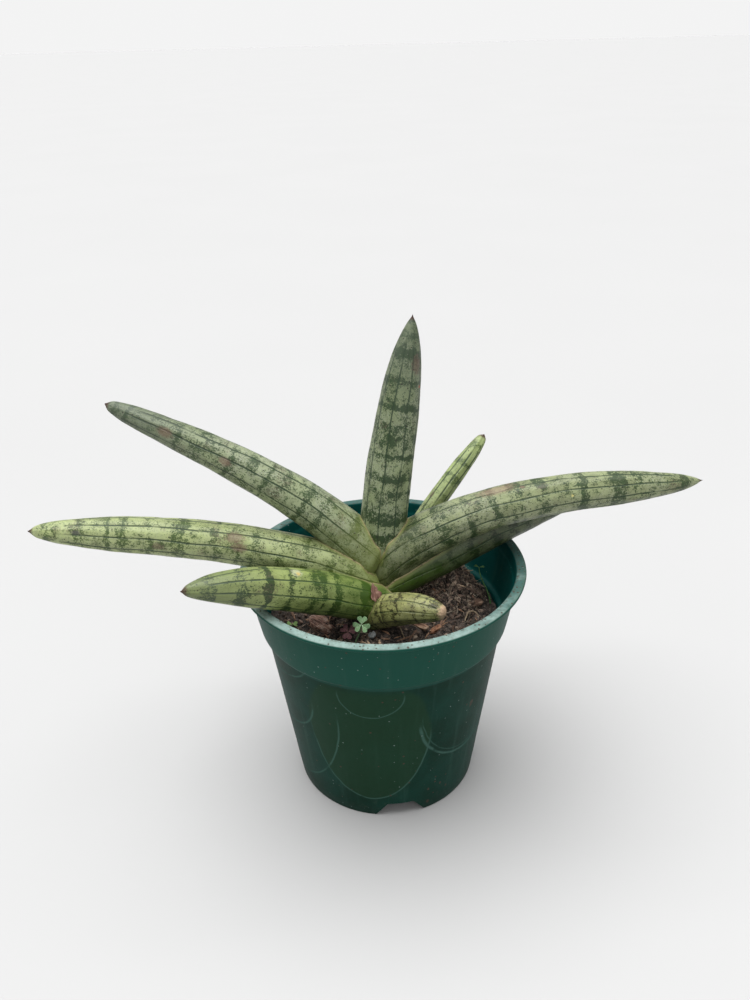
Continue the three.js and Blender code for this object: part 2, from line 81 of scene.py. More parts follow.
# %% A helper for node trees
class Wiring:
    def __init__(self, tree):
        self.tree = tree
        self.count = 0

    def add(self, kind, inputs=(), **settings):
        made = self.tree.nodes.new(kind)
        made.location = (190 * (self.count % 12), -260 * (self.count // 12))
        self.count += 1
        for name, value in settings.items():
            setattr(made, name, value)
        pairs = inputs.items() if isinstance(inputs, dict) else enumerate(inputs)
        for key, value in pairs:
            if value is not None:
                self.feed(made.inputs[key], value)
        return made

    def feed(self, socket, value):
        if isinstance(value, bpy.types.NodeSocket):
            self.tree.links.new(value, socket)
        else:
            socket.default_value = value

    def sum(self, operation, a, b=None, c=None):
        return self.add("ShaderNodeMath", (a, b, c), operation=operation).outputs[0]

    def plus(self, a, b):
        return self.sum("ADD", a, b)

    def less(self, a, b):
        return self.sum("SUBTRACT", a, b)

    def times(self, a, b):
        return self.sum("MULTIPLY", a, b)

    def over(self, a, b):
        return self.sum("DIVIDE", a, b)

    def power(self, a, b):
        return self.sum("POWER", a, b)

    def vector(self, operation, a, b=None):
        made = self.add("ShaderNodeVectorMath", (a, b), operation=operation)
        return made.outputs["Value" if operation in ("LENGTH", "DISTANCE", "DOT_PRODUCT") else "Vector"]

    def scaled(self, a, factor):
        made = self.add("ShaderNodeVectorMath", {0: a, "Scale": factor}, operation="SCALE")
        return made.outputs["Vector"]

    def xyz(self, x=0.0, y=0.0, z=0.0):
        return self.add("ShaderNodeCombineXYZ", (x, y, z)).outputs[0]

    def parts(self, vector):
        made = self.add("ShaderNodeSeparateXYZ", (vector,))
        return made.outputs[0], made.outputs[1], made.outputs[2]

    def ease(self, value, start, end, low=0.0, high=1.0):
        made = self.add(
            "ShaderNodeMapRange", (value, start, end, low, high), interpolation_type="SMOOTHSTEP"
        )
        return made.outputs[0]

    def noise(self, vector, scale, detail=2.0, rough=0.5, distortion=0.0):
        made = self.add(
            "ShaderNodeTexNoise",
            {"Vector": vector, "Scale": scale, "Detail": detail, "Roughness": rough,
             "Distortion": distortion},
        )
        return made.outputs[0]

    def cells(self, vector, scale, feature="F1", randomness=1.0):
        made = self.add(
            "ShaderNodeTexVoronoi",
            {"Vector": vector, "Scale": scale, "Randomness": randomness},
            feature=feature,
        )
        return made

    def blend(self, share, a, b, kind="MIX"):
        made = self.add("ShaderNodeMix", {0: share, 6: a, 7: b}, data_type="RGBA", blend_type=kind)
        return made.outputs[2]

    def place(self):
        """The place of each point in millimetres."""
        return self.scaled(self.add("ShaderNodeTexCoord").outputs["Object"], MM_PER_METRE)

    def attribute(self, name, output="Vector"):
        """A value kept with each point of the mesh."""
        made = self.add("ShaderNodeAttribute", attribute_name=name, attribute_type="GEOMETRY")
        return made.outputs[output]


def colour(r, g, b):
    return (r, g, b, 1.0)


def finish_material(name, build, relief=0.9, shine=0.3):
    """A material whose wiring function returns its tone, its roughness, and its relief's height and depth."""
    material = bpy.data.materials.new(name)
    material.use_nodes = True
    tree = material.node_tree
    tree.nodes.clear()
    w = Wiring(tree)
    tone, rough, height, depth = build(w)
    bump = w.add("ShaderNodeBump", {"Strength": relief, "Distance": depth, "Height": height}).outputs[0]
    shader = w.add("ShaderNodeBsdfPrincipled", {
        "Base Color": tone, "Roughness": rough, "Normal": bump, "Specular IOR Level": shine,
    })
    out = w.add("ShaderNodeOutputMaterial")
    tree.links.new(shader.outputs[0], out.inputs["Surface"])
    return material


print("wiring ready")

# %% [markdown]
# ## Building a mesh and handing it over
# A finished piece is a plain mesh whose object sits at the origin. It rides on the body "root",
# because nothing on a potted plant moves, and the imported solids that it stands for are hidden.


# %% Helpers for pieces
def new_object(name, mesh):
    made = bpy.data.objects.new(name, mesh)
    bpy.context.scene.collection.objects.link(made)
    return made


def mesh_from(name, points, faces, smooth=True):
    mesh = bpy.data.meshes.new(name)
    mesh.from_pydata([tuple(p) for p in points], [], faces)
    mesh.validate()
    mesh.polygons.foreach_set("use_smooth", [smooth] * len(mesh.polygons))
    mesh.update()
    return mesh


def faced_out(mesh):
    """The mesh with its normals turned outwards."""
    bm = bmesh.new()
    bm.from_mesh(mesh)
    bmesh.ops.recalc_face_normals(bm, faces=bm.faces)
    bm.to_mesh(mesh)
    bm.free()
    return mesh


def baked(source, name):
    """A plain mesh object from source with its modifiers applied; source goes."""
    bpy.context.view_layer.update()
    evaluated = source.evaluated_get(bpy.context.evaluated_depsgraph_get())
    mesh = bpy.data.meshes.new_from_object(evaluated)
    mesh.name = name
    bpy.data.objects.remove(source)
    return new_object(name, mesh)


def hand_over(piece, slot, *nodes, material=None):
    if material is not None:
        piece.data.materials.clear()
        piece.data.materials.append(material)
    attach(piece, "root")
    if nodes:
        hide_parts(*nodes)
    print(piece.name, len(piece.data.polygons), "faces")


def apply_nodes(holder, tree, name, values):
    """Runs a Geometry Nodes tree on holder with named inputs, and bakes it."""
    modifier = holder.modifiers.new("grow", "NODES")
    modifier.node_group = tree
    sockets = {s.name: s.identifier for s in tree.interface.items_tree if s.in_out == "INPUT"}
    for key, value in values.items():
        modifier[sockets[key]] = value
    return baked(holder, name)


print("piece helpers ready")

# %% [markdown]
# ## How a leaf grows
# A leaf of this plant is a thick round spear. It leaves the crown at one pitch, bends down under
# its own weight and points its tip at another. So its middle line is a walk: many small steps,
# each turned a little from the last. Its girth follows one rule too: a gentle swell, then a taper
# that closes faster towards the tip. That is work for Geometry Nodes. The tree walks a curve,
# then wraps a cylinder round it, and keeps for every point where it would lie on the leaf
# if the leaf were straight. The skin's pattern reads that, so the bands bend with the leaf.

# %% Sizes of the leaves
# start: from the pot's axis at the rim, in millimetres. heading: degrees from +x to the back.
# pitch: degrees above level at the foot, the middle and the tip.
# girth: radius at the foot and the middle, and a shoulder that the taper cuts off.
# taper: how late it starts, and how bluntly it closes. slant: how far the foot is cut back on top.
# back: how far the foot carries on past the start. forward: how far the foot is drawn to the front.
LEAVES = {
    "leaf_centre_upright": dict(
        start=(1.9, 6.2, -33.8), heading=49, sweep=0, pitch=(101.8, 77.5, 78), length=163,
        girth=(12.6, 11.75, 8.8), taper=(9.7, 0.94), slant=0, lines=9),
    "leaf_upper_left": dict(
        start=(-1, 0, -2), heading=176, sweep=-6, pitch=(53, 30, 24), length=165,
        girth=(13.2, 9.6, 5.3), taper=(10, 0.4), slant=8, lines=9),
    "leaf_upper_right": dict(
        start=(-3, 0, -3), heading=6, sweep=2, pitch=(43, 7, 1), length=183,
        girth=(13.6, 10.7, 14), taper=(4.4, 0.85), slant=24, back=11, forward=2.5, lines=9),
    "leaf_lower_left": dict(
        start=(3, -2, -12), heading=183, sweep=0, pitch=(30, 11, 5), length=187,
        girth=(12, 10.5, 12.5), taper=(4.3, 0.61), slant=30, back=10, forward=5, lines=9),
    "leaf_lower_right": dict(
        start=(-3, -2, -10.8), heading=18, sweep=4, pitch=(12.5, 17, -3), length=148,
        girth=(10.8, 10.7, 10.7), taper=(5.3, 0.7), slant=20, back=10, forward=6, lines=9),
    "leaf_front_left": dict(
        start=(3, -8, -20), heading=209, sweep=0, pitch=(27, 24, 10), length=118,
        girth=(10.2, 11.9, 13.7), taper=(3, 0.66), slant=12, back=9, forward=3, lines=9),
    "leaf_front_stub": dict(
        start=(-8, -14, -24), heading=-48, sweep=20, pitch=(38, 26, -1), length=54,
        girth=(8.3, 8.6, 9.3), taper=(3.5, 0.62), slant=0, lines=9, closure=0.9),
    "leaf_young_right": dict(
        start=(4, 14.5, -35.7), heading=38, sweep=0, pitch=(83.9, 44, 43), length=111,
        girth=(5.8, 5.5, 5.4), taper=(5.3, 0.36), slant=0, lines=8),
}
LEAF_SIDES = 112
RINGS_PER_MM = 1.15
print(len(LEAVES), "leaves")


# %% The walk of a leaf's middle line
def leaf_ways(w, share, ask):
    """The way along, across and up from the leaf at a share of its length."""
    rest = w.less(1.0, share)
    foot = w.times(w.times(rest, w.less(1.0, w.times(2.0, share))), ask["Pitch foot"])
    middle = w.times(w.times(4.0, w.times(share, rest)), ask["Pitch middle"])
    tip = w.times(w.times(share, w.less(w.times(2.0, share), 1.0)), ask["Pitch tip"])
    pitch = w.plus(w.plus(foot, middle), tip)
    heading = w.plus(ask["Heading"], w.times(ask["Sweep"], share))
    level, rise = w.sum("COSINE", pitch), w.sum("SINE", pitch)
    east, north = w.sum("COSINE", heading), w.sum("SINE", heading)
    along = w.xyz(w.times(level, east), w.times(level, north), rise)
    across = w.xyz(w.times(north, -1.0), east, 0.0)
    up = w.vector("CROSS_PRODUCT", along, across)
    return along, across, up


def leaf_tree():
    tree = bpy.data.node_groups.new("leaf_grower", "GeometryNodeTree")
    face = tree.interface
    face.new_socket("Geometry", in_out="INPUT", socket_type="NodeSocketGeometry")
    face.new_socket("Start", in_out="INPUT", socket_type="NodeSocketVector")
    face.new_socket("Foot nudge", in_out="INPUT", socket_type="NodeSocketVector")
    for name in ("Heading", "Sweep", "Pitch foot", "Pitch middle", "Pitch tip", "Length",
                 "Girth foot", "Girth middle", "Girth shoulder", "Taper start", "Taper bluntness",
                 "Slant", "Lines", "Tip closure", "Channel"):
        face.new_socket(name, in_out="INPUT", socket_type="NodeSocketFloat")
    for name in ("Sides", "Rings"):
        face.new_socket(name, in_out="INPUT", socket_type="NodeSocketInt")
    face.new_socket("Skin", in_out="INPUT", socket_type="NodeSocketMaterial")
    face.new_socket("Geometry", in_out="OUTPUT", socket_type="NodeSocketGeometry")
    w = Wiring(tree)
    ask = w.add("NodeGroupInput").outputs

    steps = 160
    walk = w.add("GeometryNodeCurvePrimitiveLine").outputs[0]
    walk = w.add("GeometryNodeResampleCurve", {"Curve": walk, "Count": steps + 1}).outputs[0]
    index = w.add("GeometryNodeInputIndex").outputs[0]
    at_step = w.over(w.less(index, 0.5), float(steps))
    along, _, _ = leaf_ways(w, at_step, ask)
    stride = w.times(w.over(ask["Length"], float(steps)), w.sum("MINIMUM", index, 1.0))
    sums = w.add("GeometryNodeAccumulateField", data_type="FLOAT_VECTOR")
    w.feed(next(s for s in sums.inputs if s.enabled and s.type == "VECTOR"), w.scaled(along, stride))
    walked = next(s for s in sums.outputs if s.enabled and s.name == "Leading")
    middle_line = w.add(
        "GeometryNodeSetPosition",
        {"Geometry": walk, "Position": w.vector("ADD", ask["Start"], walked)},
    ).outputs[0]

    tube = w.add(
        "GeometryNodeMeshCylinder",
        {"Vertices": ask["Sides"], "Side Segments": ask["Rings"], "Radius": 1.0, "Depth": 1.0},
        fill_type="TRIANGLE_FAN",
    ).outputs["Mesh"]
    x, y, z = w.parts(w.add("GeometryNodeInputPosition").outputs[0])
    rim = w.sum("SQRT", w.plus(w.times(x, x), w.times(y, y)))
    upper = w.times(w.plus(y, rim), 0.5)
    cut_back = w.over(w.times(ask["Slant"], upper), ask["Length"])
    level = w.less(1.0, w.power(w.less(1.0, w.sum("MINIMUM", w.plus(z, 0.5), 1.0)), 1.25))
    share = w.plus(cut_back, w.times(w.less(1.0, cut_back), level))
    share = w.sum("MINIMUM", share, 0.9995)
    from_foot = w.times(w.less(share, cut_back), ask["Length"])

    rest = w.less(1.0, share)
    swell = w.times(w.times(rest, w.less(1.0, w.times(2.0, share))), ask["Girth foot"])
    swell = w.plus(swell, w.times(w.times(4.0, w.times(share, rest)), ask["Girth middle"]))
    far = w.times(share, w.less(w.times(2.0, share), 1.0))
    swell = w.plus(swell, w.times(far, ask["Girth shoulder"]))
    closing = w.less(1.0, w.times(ask["Tip closure"], w.power(share, ask["Taper start"])))
    girth = w.times(swell, w.power(closing, ask["Taper bluntness"]))
    end = w.ease(share, 0.97, 1.0)
    girth = w.times(girth, w.sum("SQRT", w.less(1.0, w.times(end, w.times(end, 0.98)))))
    tuck = w.ease(from_foot, 0.0, 0.004, 0.82, 1.0)
    girth = w.times(girth, tuck)
    top_side = w.power(w.sum("MAXIMUM", y, 0.0), 6.0)
    channel = w.times(w.times(ask["Channel"], top_side), w.ease(share, 0.0, 0.4, 1.0, 0.0))
    girth = w.times(girth, w.less(1.0, channel))
    turn = w.sum("ARCTAN2", y, x)
    flutes = w.times(w.sum("COSINE", w.times(turn, ask["Lines"])), 0.00009)
    lumps = w.noise(w.xyz(x, y, w.times(share, w.times(ask["Length"], 28.0))), 1.3, 2.0)
    girth = w.plus(girth, w.times(w.less(lumps, 0.5), 0.0016))
    girth = w.times(w.plus(girth, w.times(flutes, w.ease(share, 0.98, 0.9))), rim)

    on_line = w.add(
        "GeometryNodeSampleCurve",
        {"Curves": middle_line, "Factor": share},
        mode="FACTOR",
        use_all_curves=True,
    ).outputs["Position"]
    _, across, up = leaf_ways(w, share, ask)
    out = w.vector("ADD", w.scaled(across, w.over(x, w.sum("MAXIMUM", rim, 0.001))),
                   w.scaled(up, w.over(y, w.sum("MAXIMUM", rim, 0.001))))
    on_line = w.vector("ADD", on_line, w.scaled(ask["Foot nudge"], w.power(rest, 3.0)))
    spot = w.vector("ADD", on_line, w.scaled(out, girth))
    skin = w.scaled(w.xyz(w.times(x, girth), w.times(y, girth), w.times(share, ask["Length"])), MM_PER_METRE)

    def keep(geometry, name, value, kind):
        return w.add(
            "GeometryNodeStoreNamedAttribute",
            {"Geometry": geometry, "Name": name, "Value": value},
            data_type=kind,
            domain="POINT",
        ).outputs[0]

    made = keep(tube, "skin", skin, "FLOAT_VECTOR")
    made = keep(made, "share", share, "FLOAT")
    made = w.add("GeometryNodeSetPosition", {"Geometry": made, "Position": spot}).outputs[0]
    made = w.add("GeometryNodeSetShadeSmooth", {"Geometry": made}).outputs[0]
    made = w.add("GeometryNodeRealizeInstances", {"Geometry": made}).outputs[0]
    made = w.add("GeometryNodeSetMaterial", {"Geometry": made, "Material": ask["Skin"]}).outputs[0]
    w.add("NodeGroupOutput", (made,))
    return tree


leaf_grower = leaf_tree()
print("leaf tree has", len(leaf_grower.nodes), "nodes")

# %% [markdown]
# ## Growing the leaves, inner to outer
# Each leaf clasps the next one in with a thin edge, and that edge dries to a tan line. A point
# of an outer leaf knows that it is on this line when it lies close to the skin of a leaf further
# in, so the leaves are grown from the inside out and each one is measured against those before.


# %% Leaf by leaf
FRONT_AND_UP = Vector((0, -0.887, 0.462))


def carried_back(size, back):
    """The same leaf with its foot carried on past its start, so that it clasps its neighbours."""
    size = dict(size)
    length = size["length"]
    first = -back / length

    def along(values, s):
        foot, middle, tip = values
        return foot * (1 - s) * (1 - 2 * s) + 4 * middle * s * (1 - s) + tip * s * (2 * s - 1)

    def again(values):
        return tuple(along(values, s) for s in (first, (1 + first) / 2, 1.0))

    spot = Vector(size["start"])
    steps = 20
    for k in range(steps):
        s = first * (k + 0.5) / steps
        pitch = math.radians(along(size["pitch"], s))
        heading = math.radians(size["heading"] + size["sweep"] * s)
        level = math.cos(pitch)
        way = Vector((level * math.cos(heading), level * math.sin(heading), math.sin(pitch)))
        spot -= way * (back / steps)
    size["start"] = tuple(spot)
    size["pitch"] = again(size["pitch"])
    size["girth"] = again(size["girth"])
    size["heading"] += size["sweep"] * first
    size["sweep"] *= 1 - first
    size["taper"] = (size["taper"][0] * (1 + back / length), size["taper"][1])
    size["length"] = length + back
    return size


def grow_leaf(name, size, skin, inner_leaves):
    holder = new_object(name + "_seed", bpy.data.meshes.new(name + "_seed"))
    nudge = FRONT_AND_UP * size.get("forward", 0.0) * MM
    size = carried_back(size, size.get("back", 0.0))
    foot, middle, tip = (math.radians(p) for p in size["pitch"])
    girths = [g * MM for g in size["girth"]]
    x, y, z = size["start"]
    leaf = apply_nodes(holder, leaf_grower, name, {
        "Start": (POT_X + x * MM, POT_Y + y * MM, RIM_Z + z * MM),
        "Foot nudge": tuple(nudge),
        "Heading": math.radians(size["heading"]),
        "Sweep": math.radians(size["sweep"]),
        "Pitch foot": foot, "Pitch middle": middle, "Pitch tip": tip,
        "Length": size["length"] * MM,
        "Girth foot": girths[0], "Girth middle": girths[1], "Girth shoulder": girths[2],
        "Taper start": float(size["taper"][0]), "Taper bluntness": float(size["taper"][1]),
        "Slant": size["slant"] * MM, "Lines": float(size["lines"]),
        "Tip closure": float(size.get("closure", 0.9995)),
        "Channel": float(size.get("channel", 0.06)),
        "Sides": LEAF_SIDES, "Rings": int(size["length"] * RINGS_PER_MM),
        "Skin": skin,
    })
    mark_margin(leaf, inner_leaves)
    return leaf


def mark_margin(leaf, inner_leaves):
    """Keeps, for each point, its distance in millimetres from the leaves further in."""
    trees = [BVHTree.FromPolygons([v.co for v in o.data.vertices],
                                  [p.vertices for p in o.data.polygons]) for o in inner_leaves]
    near = leaf.data.attributes.new("to_inner", "FLOAT", "POINT")
    for i, vertex in enumerate(leaf.data.vertices):
        reach = 9.0 * MM
        for tree in trees:
            hit = tree.find_nearest(vertex.co, reach)
            if hit[0] is not None:
                reach = min(reach, hit[3])
        near.data[i].value = reach / MM


# %% [markdown]
# ## Leaf skin
# The skin is pale green dusted with grey, crossed by ragged dark green bands, and drawn with
# fine dark lines from foot to tip. All of it reads the straightened place of each point, so
# bands run round the leaf and lines run along it. The foot is plainer and a deeper green, the
# tip dries to a brown point, and old knocks leave corky scars.


# %% What every step of the skin reads
class SkinPlaces:
    """Places on the straightened leaf in millimetres, and the noises that several steps share."""

    def __init__(self, w, seed):
        self.w, self.seed = w, seed
        self.skin = w.attribute("skin")
        self.share = w.attribute("share", "Fac")
        self.to_inner = w.attribute("to_inner", "Fac")
        self.x, self.y, self.along = w.parts(self.skin)
        self.shifted = w.vector("ADD", self.skin, (seed * 7.3, seed * 3.1, seed * 31.0))
        self.patches = w.noise(self.shifted, 0.13, 4.0, 0.6)
        self.grain = w.noise(self.shifted, 1.1, 4.0, 0.7)
        self.wormy = w.noise(w.vector("MULTIPLY", self.shifted, (1.0, 1.0, 0.8)), 1.35, 5.0, 0.8, 0.2)
        dusty = w.ease(w.noise(self.moved(0.0, 90.0, 0.0), 0.06, 3.0, 0.55), 0.4, 0.6)
        flecks = w.ease(w.noise(self.moved(50.0, 0.0, 0.0), 1.7, 3.0, 0.7), 0.42, 0.62)
        self.dusting = w.times(flecks, dusty)

    def moved(self, x, y, z):
        return self.w.vector("ADD", self.shifted, (x, y, z))

    def ragged(self, field, noise_field, amount):
        """The field with its edge pushed to and fro by a noise."""
        return self.w.plus(field, self.w.times(self.w.less(noise_field, 0.5), amount))


# %% Ground, bands and speckle
def skin_ground(w, at, pale, grey, dust):
    """Pale green with darker patches, dusted with grey flecks."""
    mixed = w.plus(w.times(at.patches, 0.65), w.times(at.grain, 0.35))
    ground = w.blend(w.ease(mixed, 0.36, 0.62), colour(*[0.66 * c for c in pale]), colour(*pale))
    return w.blend(w.times(at.dusting, dust), ground, colour(*grey))


def skin_bands(w, at, bands, band_gap):
    """How far each place lies inside a band: two waves along the leaf, ragged and broken."""
    ragged = w.times(w.less(w.noise(at.shifted, 0.2, 4.0, 0.7), 0.5), 12.0)
    wander = w.times(w.less(w.noise(w.xyz(0.0, at.seed * 5.0, at.along), 0.035, 2.0), 0.5), 30.0)
    travel = w.plus(w.plus(at.along, ragged), wander)
    wave = w.sum("SINE", w.times(travel, 2.0 * math.pi / band_gap))
    second = w.sum("SINE", w.plus(w.times(travel, 2.0 * math.pi / (band_gap * 0.57)), 2.0 + at.seed))
    broken = w.ease(w.noise(at.moved(0.0, 0.0, 400.0), 0.06, 2.0), 0.36, 0.6)
    band = w.ease(w.plus(w.times(wave, 0.75), w.times(second, 0.45)), -0.15, 0.8)
    return w.times(w.times(band, w.plus(w.times(broken, 0.65), 0.35)), bands)


def skin_speckle(w, at, tone, deep, band, speckle):
    """Dark green specks in clusters, thick in the bands and thin between them."""
    cluster = w.noise(at.moved(0.0, 30.0, 70.0), 0.4, 3.0, 0.6)
    crowd = w.plus(w.plus(w.times(band, 0.62), speckle), w.times(w.less(at.patches, 0.5), -0.9))
    crowd = at.ragged(crowd, cluster, 1.35)
    speck = w.ease(at.ragged(at.wormy, crowd, 0.3), 0.48, 0.55)
    green = w.blend(w.ease(at.grain, 0.35, 0.65), colour(*[0.55 * c for c in deep]), colour(*deep))
    tone = w.blend(w.times(w.sum("MINIMUM", band, 1.0), 0.15), tone, green)
    return w.blend(w.times(speck, 0.92), tone, green)


def skin_rubbed(w, at, tone):
    """Brown patches where the leaf was rubbed, also in specks."""
    rubbed = w.ease(w.noise(at.moved(200.0, 0.0, 30.0), 0.075, 3.0, 0.6), 0.56, 0.68)
    brown = w.ease(w.noise(at.moved(9.0, 80.0, 5.0), 1.3, 5.0, 0.8), 0.46, 0.58)
    return w.blend(w.times(w.times(rubbed, brown), 0.6), tone, colour(0.10, 0.07, 0.048))


# %% Lines, foot and tip
def skin_lines(w, at, tone, lines, ink):
    """Fine dark lines from foot to tip, worn away here and there; hands back where they are too."""
    turn = w.sum("ARCTAN2", at.y, at.x)
    radius = w.sum("SQRT", w.plus(w.times(at.x, at.x), w.times(at.y, at.y)))
    spacing = w.times(radius, 2.0 * math.pi / lines)
    drift = w.times(w.less(w.noise(at.skin, 0.03, 1.0), 0.5), 0.5)
    place = w.plus(w.times(turn, lines / (2.0 * math.pi)), drift)
    offset = w.sum("ABSOLUTE", w.less(w.sum("FRACT", w.plus(place, 64.5 + at.seed * 0.13)), 0.5))
    off_line = w.times(offset, spacing)
    half_width = w.plus(0.34, w.times(w.noise(at.skin, 0.12, 2.0), 0.45))
    line = w.sum("MAXIMUM", w.less(1.0, w.over(off_line, half_width)), 0.0)
    line = w.ease(line, 0.0, 0.7)
    line = w.times(line, w.ease(at.ragged(at.share, at.patches, 0.15), 0.94, 0.88))
    worn = w.ease(w.noise(at.shifted, 0.1, 2.0), 0.3, 0.5)
    line = w.times(line, w.plus(0.45, w.times(worn, 0.55)))
    return w.blend(w.times(line, ink), tone, colour(0.014, 0.036, 0.012)), line


def skin_dusk(w, at, tone, dusk):
    """Some leaves darken towards the tip."""
    late = w.times(w.ease(at.ragged(at.share, at.patches, 0.5), 0.55, 1.0), dusk)
    return w.blend(late, tone, colour(0.05, 0.068, 0.045))


def skin_foot(w, at, tone, foot_tint, foot_reach):
    """The foot is a plainer and deeper green."""
    foot = w.ease(at.ragged(at.share, at.patches, 0.25), foot_reach, 0.02)
    return w.blend(w.times(foot, 0.8), tone, colour(*foot_tint))


# %% Dirt, scars and dry edges
def skin_dirt(w, at, tone, grime):
    """Specks of soil and thin smears; hands back how dirty each place is too."""
    specks = w.cells(at.moved(7.0, 7.0, 7.0), 0.42)
    chance = w.parts(specks.outputs["Color"])[0]
    ragged_far = at.ragged(specks.outputs["Distance"], at.grain, 0.25)
    spot = w.times(w.ease(ragged_far, 0.2, 0.12), w.ease(chance, 0.7, 0.72))
    stretched = w.vector("MULTIPLY", at.shifted, (1.0, 1.0, 0.45))
    smear = w.ease(w.noise(stretched, 0.3, 5.0, 0.75), 0.56, 0.72)
    tone = w.blend(w.times(smear, w.times(grime, 0.45)), tone, colour(0.06, 0.055, 0.036))
    tone = w.blend(w.times(spot, 0.85), tone, colour(0.022, 0.017, 0.013))
    return tone, w.sum("MINIMUM", w.plus(spot, w.times(smear, 0.5)), 1.0)


def skin_scars(w, at, tone, marks):
    """Old knocks with ragged edges, each a place, a size, a stretch and a tint; hands back where too."""
    cork = None
    for (mx, my, mz, size, stretch, tint) in marks:
        away = w.vector("MULTIPLY", w.vector("SUBTRACT", at.skin, (mx, my, mz)), (1.0, 1.0, 1.0 / stretch))
        fine_edge = w.times(w.less(at.grain, 0.5), size * 1.2)
        coarse_edge = w.times(w.less(at.wormy, 0.5), size * 1.6)
        far = w.plus(w.vector("LENGTH", away), w.plus(fine_edge, coarse_edge))
        mask = w.ease(far, size, size * 0.45)
        tone = w.blend(w.times(mask, 0.62), tone, colour(*tint))
        cork = mask if cork is None else w.sum("MAXIMUM", cork, mask)
    return tone, cork


def skin_margin(w, at, tone):
    """The dried edge where this leaf clasps the one inside it; hands back where it is too."""
    near_foot = w.ease(at.along, 60.0, 45.0)
    wobbly = at.ragged(at.to_inner, at.grain, 0.8)
    edge = w.times(w.ease(wobbly, 0.95, 0.4), near_foot)
    paler = w.times(w.ease(wobbly, 2.6, 1.0), near_foot)
    tone = w.blend(w.times(paler, 0.6), tone, colour(0.2, 0.23, 0.07))
    tone = w.blend(w.times(edge, 0.85), tone, colour(0.3, 0.25, 0.12))
    # Patchy dark brown right where this leaf meets the leaf inside it.
    dirt = w.ease(w.noise(at.shifted, 0.35, 3.0, 0.7), 0.5, 0.6)
    dark_at_join = w.times(w.ease(at.to_inner, 0.9, 0.2), dirt)
    return w.blend(w.times(w.times(dark_at_join, near_foot), 0.8), tone, colour(0.06, 0.04, 0.025)), edge


# %% The skin put together
TIP_BROWN = (0.05, 0.022, 0.014)


def leaf_skin(name, pale, deep, foot_tint, lines, length, seed, bands=1.0, band_gap=14.0, dust=0.5,
              grime=0.4, marks=(), speckle=0.28, dusk=0.0, tip_colour=TIP_BROWN, foot_reach=0.22,
              ink=0.92, grey=(0.34, 0.37, 0.27)):
    def build(w):
        at = SkinPlaces(w, seed)
        tone = skin_ground(w, at, pale, grey, dust)
        tone = skin_speckle(w, at, tone, deep, skin_bands(w, at, bands, band_gap), speckle)
        tone = skin_rubbed(w, at, tone)
        tone, line = skin_lines(w, at, tone, lines, ink)
        if dusk:
            tone = skin_dusk(w, at, tone, dusk)
        tone = skin_foot(w, at, tone, foot_tint, foot_reach)
        tone, dirt = skin_dirt(w, at, tone, grime)
        tone, cork = skin_scars(w, at, tone, marks)
        tone, edge = skin_margin(w, at, tone)
        tip = w.ease(at.ragged(at.along, at.grain, 5.0), length - 3.4, length - 1.2)
        tone = w.blend(w.times(tip, 0.95), tone, colour(*tip_colour))

        height = w.plus(w.times(line, -0.32), w.times(at.grain, 0.07))
        height = w.plus(height, w.times(w.noise(at.shifted, 4.5, 2.0), 0.03))
        height = w.plus(height, w.times(edge, 0.25))
        if cork is not None:
            height = w.plus(height, w.times(cork, -0.15))
        rough = w.plus(0.42, w.times(at.dusting, 0.18))
        rough = w.plus(rough, w.times(w.plus(dirt, tip), 0.12))
        return tone, rough, height, MM
    return finish_material(name, build, relief=0.8, shine=0.38)


